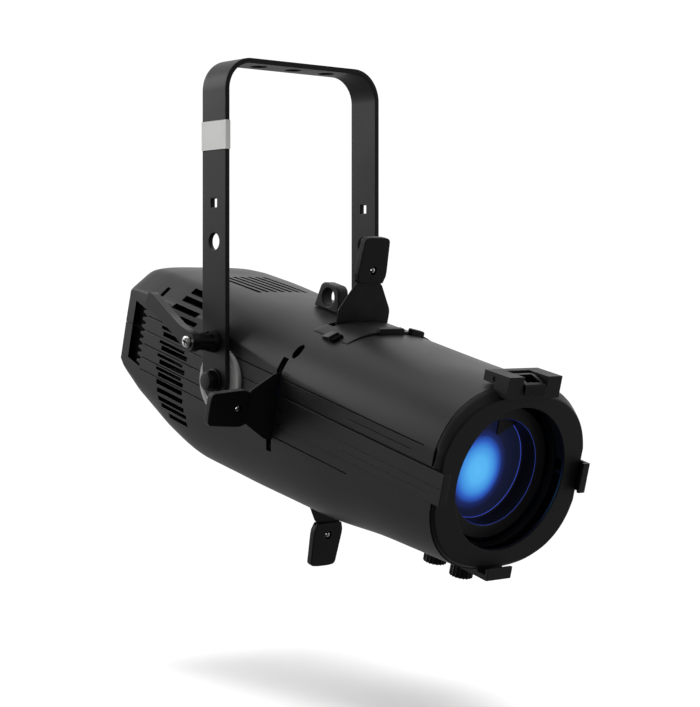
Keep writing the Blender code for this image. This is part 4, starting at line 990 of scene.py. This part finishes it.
def rear_plate():
    """The plate that closes the rear, with its sockets, display, buttons and fan grille."""
    front, back = 0.1345, 0.1370

    def plate(bm):
        rings = []
        for y, inset in ((front, 0.0), (back - 0.0005, 0.0), (back, 0.0005)):
            away = -WALL - 0.0016 - inset
            outline = upper_outline(y, away, 41) + lower_outline(y, away, 41)
            rings.append(at_station(y, outline))
        loft(bm, rings, closed=True, capped=True)

    panel = start("rear_plate", plate)

    def holes(bm):
        for x, z in CONNECTORS.values():
            add_cylinder(bm, 0.0119, (x, 0.12, z), (x, 0.15, z))
        for index in range(7):
            x = (index - 3) * 0.0078
            half = math.sqrt(0.0275 ** 2 - x * x)
            add_prism(bm, arc((x, FAN_Z + half - 0.0018), 0.0018, 0, 180, 9)
                      + arc((x, FAN_Z - half + 0.0018), 0.0018, 180, 360, 9), "xz", 0.12, 0.15)
        add_box(bm, (DISPLAY_X - 0.0163, 0.12, CONTROL_Z - 0.0058),
                (DISPLAY_X + 0.0163, 0.15, CONTROL_Z + 0.0058))
        for x in BUTTON_XS:
            add_cylinder(bm, 0.0030, (x, 0.12, CONTROL_Z), (x, 0.15, CONTROL_Z), 32)

    carve(panel, holes)
    settle(panel, CAST, "lamp_body", "cast_black", "rear_panel")

    for name, (x, z) in CONNECTORS.items():
        place = facing((x, back - 0.0022, z), (0, 1, 0))
        power = name.startswith("power")
        profile = [(0.0, -0.0048), (0.0116, -0.0048), (0.0116, 0.0025), (0.0130, 0.0028),
                   (0.0130, 0.0042), (0.0124, 0.0048), (0.0106, 0.0048), (0.0100, 0.0042),
                   (0.0100, -0.0030), (0.0, -0.0030)]
        socket = turned(name + "_socket", profile, 64, place)

        def inside(bm):
            if power:
                core = [(0.0, -0.0035), (0.0068, -0.0035), (0.0068, 0.0030), (0.0062, 0.0036),
                        (0.0, 0.0036)]
                add_turned(bm, core, 48, place)
                add_box(bm, (x - 0.0012, back - 0.0054, z - 0.0098),
                        (x + 0.0012, back + 0.0012, z - 0.0066))
            else:
                for turn in (90, 162, 234, 306, 18):
                    angle = math.radians(turn)
                    px, pz = x + 0.0045 * math.cos(angle), z + 0.0045 * math.sin(angle)
                    add_cylinder(bm, 0.0008, (px, back - 0.0056, pz), (px, back + 0.0006, pz), 16)

        carve(socket, inside, "UNION", overlapping=True)
        settle(socket, PLASTIC, "lamp_body", "plastic_black", name)

    def window(bm):
        add_box(bm, (DISPLAY_X - 0.016, front + 0.0002, CONTROL_Z - 0.0055),
                (DISPLAY_X + 0.016, back, CONTROL_Z + 0.0055))

    glass = start("display_glass", window)
    round_edges(glass, 0.0005, 3)
    settle(glass, WINDOW, "lamp_body", "display_black", "display_window")
    for index, x in enumerate(BUTTON_XS):
        profile = [(0.0, -0.0030), (0.0027, -0.0030), (0.0027, 0.0015), (0.0023, 0.0020),
                   (0.0018, 0.0019), (0.0, 0.0016)]
        place, number = facing((x, back, CONTROL_Z), (0, 1, 0)), str(index + 1)
        button = turned("menu_key_" + number, profile, 40, place)
        settle(button, RUBBER, "button_" + number + "_body", "rubber_black",
               "menu_button_" + number)


# ---------------------------------------------------------------- shutters
def shutters():
    """Four framing shutters: flared sheet blade, moulded grip and rivet."""
    right = [(0.0255, 0.0270), (0.0255, 0.0715), (0.0252, 0.0733), (0.0245, 0.0755),
             (0.0135, 0.0930), (0.0118, 0.0945), (0.0105, 0.0958), (0.0100, 0.0970),
             (0.0100, 0.1220)]
    blade_outline = mirrored(right)
    right = [(0.0114, 0.0951), (0.0120, 0.0954), (0.0139, 0.1006), (0.0140, 0.1020),
             (0.0140, 0.1050), (0.0124, 0.1262)]
    right += arc((0.0086, 0.1262), 0.0038, 12, 72, 8) + [(0.0060, 0.1303), (0.0030, 0.1304)]
    grip_outline = mirrored(right)

    for side, turn in SHUTTER_TURN.items():
        place = LAMP_FRAME @ Matrix.Translation((0, SHUTTER_Y[side], 0))
        place = place @ Matrix.Rotation(-math.radians(turn), 4, "Y")
        body = "shutter_" + side + "_body"

        def hole(bm):
            add_cylinder(bm, 0.0025, (0, -0.02, RIVET_OUT), (0, 0.02, RIVET_OUT), 32)

        blade = prism("blade_" + side, blade_outline, "xz", -BLADE_HALF, BLADE_HALF, place)
        carve(blade, hole)
        round_edges(blade, 0.0002, 2)
        settle(blade, BLADE_STEEL, body, "blade_black", "shutter_blade_" + side, own_frame=True)

        grip = prism("grip_" + side, grip_outline, "xz", -GRIP_HALF, GRIP_HALF, place)
        round_edges(grip, 0.0007, 3)

        def pocket(bm):
            clear = BLADE_HALF + GAP
            add_box(bm, (-0.0145, -clear, 0.080), (0.0145, clear, 0.0968))
            add_box(bm, (-0.0103, -clear, 0.0960), (0.0103, clear, 0.1223))

        def countersink(bm):
            for sign in (-1, 1):
                add_cylinder(bm, 0.0025, (0, 0, RIVET_OUT), (0, sign * 0.006, RIVET_OUT), 32,
                             0.0044)

        grip.data.materials.append(GRIP)
        carve(grip, pocket, overlapping=True)
        # The countersink walls get the near-black painted shade.
        carve(grip, countersink, overlapping=True, lining=PAINTED_SHADE)
        settle(grip, GRIP, body, "grip_black", "shutter_grip_" + side)

        profile = [(0.0, 0.0029), (0.0010, 0.00285), (0.0017, 0.0026), (0.0021, 0.0021),
                   (0.0022, 0.0016), (0.0022, -0.0026), (0.0, -0.0026)]
        through = facing((0, 0, RIVET_OUT), (0, -1, 0))
        rivet = turned("rivet_" + side, profile, 40, through, place)
        settle(rivet, BRIGHT, body, "bright_steel", "shutter_rivet_" + side)


# ---------------------------------------------------------------- lens carriages and knobs
def carriage(name, y, front, back, lens_at):
    """A lens holder with its lens, whose glow is painted, and the ribbed knob that locks it."""
    place = LAMP_FRAME @ Matrix.Translation((0, y, 0))
    seat, lip, bore, half = 0.0378, 0.0358, 0.0389, 0.0030
    lens_back, lens_front = lens_at - half - 2 * GAP, lens_at + half + 2 * GAP
    profile = [(0.0480, front), (0.0480, back), (lip, back), (lip, lens_back), (seat, lens_back),
               (seat, lens_front), (bore, lens_front + 0.001), (bore, front - 0.0004),
               (bore + 0.0004, front)]
    holder = turned(name + "_holder", profile, 128, AHEAD, place)

    def limbs(bm):
        for sign in (-1, 1):
            add_side_box(bm, sign, 0.0455, 0.0620, (-0.0070, 0.0065), (-0.0065, 0.0065))
        add_box(bm, (-0.0060, -0.0070, TRACK_Z + 0.0013), (0.0060, 0.0065, -0.0460))

    def bores(bm):
        for sign in (-1, 1):
            add_cylinder(bm, 0.0033, (sign * ROD_X, -0.03, 0), (sign * ROD_X, 0.03, 0), 32)
        add_cylinder(bm, 0.0028, (0, 0, -0.080), (0, 0, -0.0520), 32)

    carve(holder, limbs, "UNION")
    if name == "focus":
        tab = [(0.0030, 0.0420), (0.0030, 0.0250), (0.0045, 0.0245), (0.0125, 0.0290),
               (0.0210, 0.0325), (0.0210, 0.0400)]
        carve(holder, lambda bm: add_prism(bm, tab, "xz", -0.0066, -0.0054), "UNION")
    carve(holder, bores)
    settle(holder, DARK_BORE, name + "_body", "plastic_black", name + "_carriage")

    rim = seat - GAP
    dome = [(rim * math.sin(math.radians(a)), lens_at + half + 0.0055 * math.cos(math.radians(a)))
            for a in range(0, 91, 5)]
    dome += [(rim, lens_at - half), (0.0, lens_at - half)]
    lens = turned(name + "_glass", dome, 128, AHEAD, place)
    # The lens glass carries the painted glow.
    settle(lens, PAINTED_LENS_GLOW, name + "_body", "lens_glass", name + "_lens", own_frame=True)
    # Two thin rings on the holder's edges carry a painted glint.
    if name == "focus":
        for label, radius, at in (("outer", bore + 0.0001, front - 0.0006),
                                  ("inner", seat + 0.0001, lens_front)):
            bead = [(radius - 0.00025, at), (radius + 0.0001, at + 0.0003),
                    (radius + 0.0002, at - 0.0001)]
            edge = turned("painted_glint_" + label, bead, 128, AHEAD, place)
            settle(edge, PAINTED_EDGE_GLINT, name + "_body", "lens_glass", own_frame=True)

    top = TRACK_Z - 0.0013
    bottom = top - 0.0140

    def fluted(bm):
        outline = []
        for i in range(180):
            angle = math.tau * i / 180
            ridge = max(0.0, math.cos(18 * angle)) ** 0.7
            radius = KNOB_RADIUS + 0.0002 + 0.0010 * ridge
            outline.append((radius * math.cos(angle), radius * math.sin(angle)))
        add_prism(bm, outline, "xy", bottom, top - 0.0022)
        add_turned(bm, [(0.0, bottom + 0.001), (KNOB_RADIUS + 0.0006, bottom + 0.001),
                        (KNOB_RADIUS + 0.0006, top - 0.0006), (KNOB_RADIUS, top), (0.0, top)], 96)

    knob = start(name + "_thumb_knob", fluted, place)
    carve(knob, lambda bm: add_cylinder(bm, 0.0025, (0, 0, top - 0.002), (0, 0, -0.0530), 32),
          "UNION", overlapping=True)
    carve(knob, lambda bm: add_turned(bm, [(0.0, bottom - 0.001), (0.0050, bottom - 0.001),
                                           (0.0046, bottom + 0.0006), (0.0, bottom + 0.0009)], 48))
    settle(knob, PLASTIC, name + "_knob_body", "plastic_black", name + "_knob")


def carried_over():
    """Better materials for the CAD nodes that are shown as they are."""
    table = {
        OILED: ("guide_rod_left", "guide_rod_right"),
        BLACK_STEEL: ("latch_pin", "knob_track", "gate_frame", "gate_front_plate"),
        RUBBER: ("brake_pad",), PLASTIC: ("fan_frame", "fan_rotor"), SINK: ("heat_sink",),
        BOARD: ("driver_board", "control_board"), WHITE_BOARD: ("led_board",),
        OPTIC: ("collimator",), POLISHED: ("light_tunnel",),
    }
    for mat, names in table.items():
        for name in names:
            NODES[name].data.materials.clear()
            NODES[name].data.materials.append(mat)


# ---------------------------------------------------------------- studio
FLOOR_Z, FLOOR_RADIUS, BACKDROP = -0.490, 2.6, 1.05
VIEW_ALONG = (0.6494, 0.7604, 0.0)
CAMERA_AT, CAMERA_TURN = (-0.9098, -1.1339, -0.1873), -40.5
SENSOR_MM, LENS_MM, LENS_SHIFT = 36.0, 93.75, (0.0007, -0.0718)
LAMP_MIDDLE = (0.0, -0.05, -0.25)
# how bright the room is, from straight behind the camera to straight ahead of it
ROOM_GREYS = ((0.0, 0.115), (0.40, 0.14), (0.58, 0.45), (0.70, 0.95), (1.0, 1.0))


def world():
    """A white studio wall beyond the object, fading to a dark room on the camera's side."""
    room = bpy.data.worlds.new("studio")
    SCENE.world = room
    room.use_nodes = True
    tree = room.node_tree
    tree.nodes.clear()
    where = add_node(tree, "TexCoord", {}).outputs["Generated"]
    ahead = add_node(tree, "VectorMath", {0: where, 1: VIEW_ALONG}, operation="DOT_PRODUCT")
    greys = colour_ramp(tree, map_range(tree, ahead.outputs["Value"], -1.0, 1.0, 0.0, 1.0),
                        [(position, (grey, grey, grey)) for position, grey in ROOM_GREYS])
    height = add_node(tree, "SeparateXYZ", {"Vector": where}).outputs["Z"]
    dimmed = map_range(tree, height, -0.45, 0.05, 0.34, 0.95)
    light = add_node(tree, "Background", {"Color": greys, "Strength": dimmed})
    white = add_node(tree, "Background", {"Color": (1.0, 1.0, 1.0, 1.0), "Strength": BACKDROP})
    seen = add_node(tree, "LightPath", {}).outputs["Is Camera Ray"]
    both = add_node(tree, "MixShader", {"Fac": seen, 1: light.outputs["Background"],
                                        2: white.outputs["Background"]})
    add_node(tree, "OutputWorld", {"Surface": both.outputs["Shader"]})


def area_light(name, location, aim, size, power, receivers=None):
    """A soft round light aimed at a point; receivers limits what it lights."""
    data = bpy.data.lights.new(name, "AREA")
    data.shape = "DISK"
    data.size = size
    data.energy = power
    lamp = bpy.data.objects.new(name, data)
    SCENE.collection.objects.link(lamp)
    lamp.location = location
    lamp.rotation_euler = (Vector(aim) - Vector(location)).to_track_quat("-Z", "Y").to_euler()
    if receivers:
        lamp.light_linking.receiver_collection = receivers
    return lamp


def studio():
    """Pale floor, soft lights and the camera."""
    mesh = bpy.data.meshes.new("floor")
    bm = bmesh.new()
    bmesh.ops.create_circle(bm, cap_ends=True, segments=128, radius=FLOOR_RADIUS)
    bm.to_mesh(mesh)
    bm.free()
    floor = bpy.data.objects.new("floor", mesh)
    SCENE.collection.objects.link(floor)
    floor.location = (0, -0.05, FLOOR_Z)
    mat, shader = new_material("pale_floor", {
        "Base Color": (0.86, 0.86, 0.86, 1.0), "Roughness": 0.9, "Specular IOR Level": 0.0})
    tree = mat.node_tree
    where = add_node(tree, "TexCoord", {}).outputs["Object"]
    length = add_node(tree, "VectorMath", {0: where}, operation="LENGTH").outputs["Value"]
    outward = map_range(tree, length, 0.35, 0.75, 0.0, 1.0, interpolation_type="SMOOTHSTEP")
    glow = add_node(tree, "Emission", {"Strength": BACKDROP}).outputs["Emission"]
    both = add_node(tree, "MixShader", {"Fac": outward, 1: shader.outputs["BSDF"], 2: glow})
    tree.links.new(both.outputs["Shader"], tree.nodes["Material Output"].inputs["Surface"])
    mesh.materials.append(mat)
    floor.visible_diffuse = False
    floor.visible_glossy = False

    ground = bpy.data.collections.new("ground")
    ground.objects.link(floor)
    area_light("floor_key", (-0.28, -0.55, 1.3), (0.0, -0.02, FLOOR_Z), 2.2, 70.0, ground)
    area_light("back_left", (-0.75, 1.15, 0.45), LAMP_MIDDLE, 0.9, 4.5)
    area_light("overhead", (-0.2, 0.0, 1.2), LAMP_MIDDLE, 0.8, 2.3)
    glints = bpy.data.collections.new("glints")
    for obj in SCENE.objects:
        if obj.name.startswith(("rivet_", "handle_screw", "label_film")):
            glints.objects.link(obj)
    area_light("front_glint", (-1.1, -0.7, 0.05), LAMP_MIDDLE, 0.7, 9.0, glints)

    data = bpy.data.cameras.new("camera")
    camera = bpy.data.objects.new("camera", data)
    SCENE.collection.objects.link(camera)
    camera.location = CAMERA_AT
    camera.rotation_euler = (math.radians(90), 0, math.radians(CAMERA_TURN))
    data.sensor_width = SENSOR_MM
    data.lens = LENS_MM
    data.shift_x, data.shift_y = LENS_SHIFT
    data.clip_start = 0.01
    SCENE.camera = camera
    SCENE.view_settings.view_transform = "Standard"


yoke()
pivots()
tilt_clamp()
housing()
inner_liners()
gate_saddle()
saddle_catch()
front_plate()
cable_eye()
rear_plate()
shutters()
carriage("zoom", ZOOM_Y, 0.0075, -0.0085, 0.0)
carriage("focus", FOCUS_Y, 0.0150, -0.0075, -0.0030)
carried_over()
world()
studio()
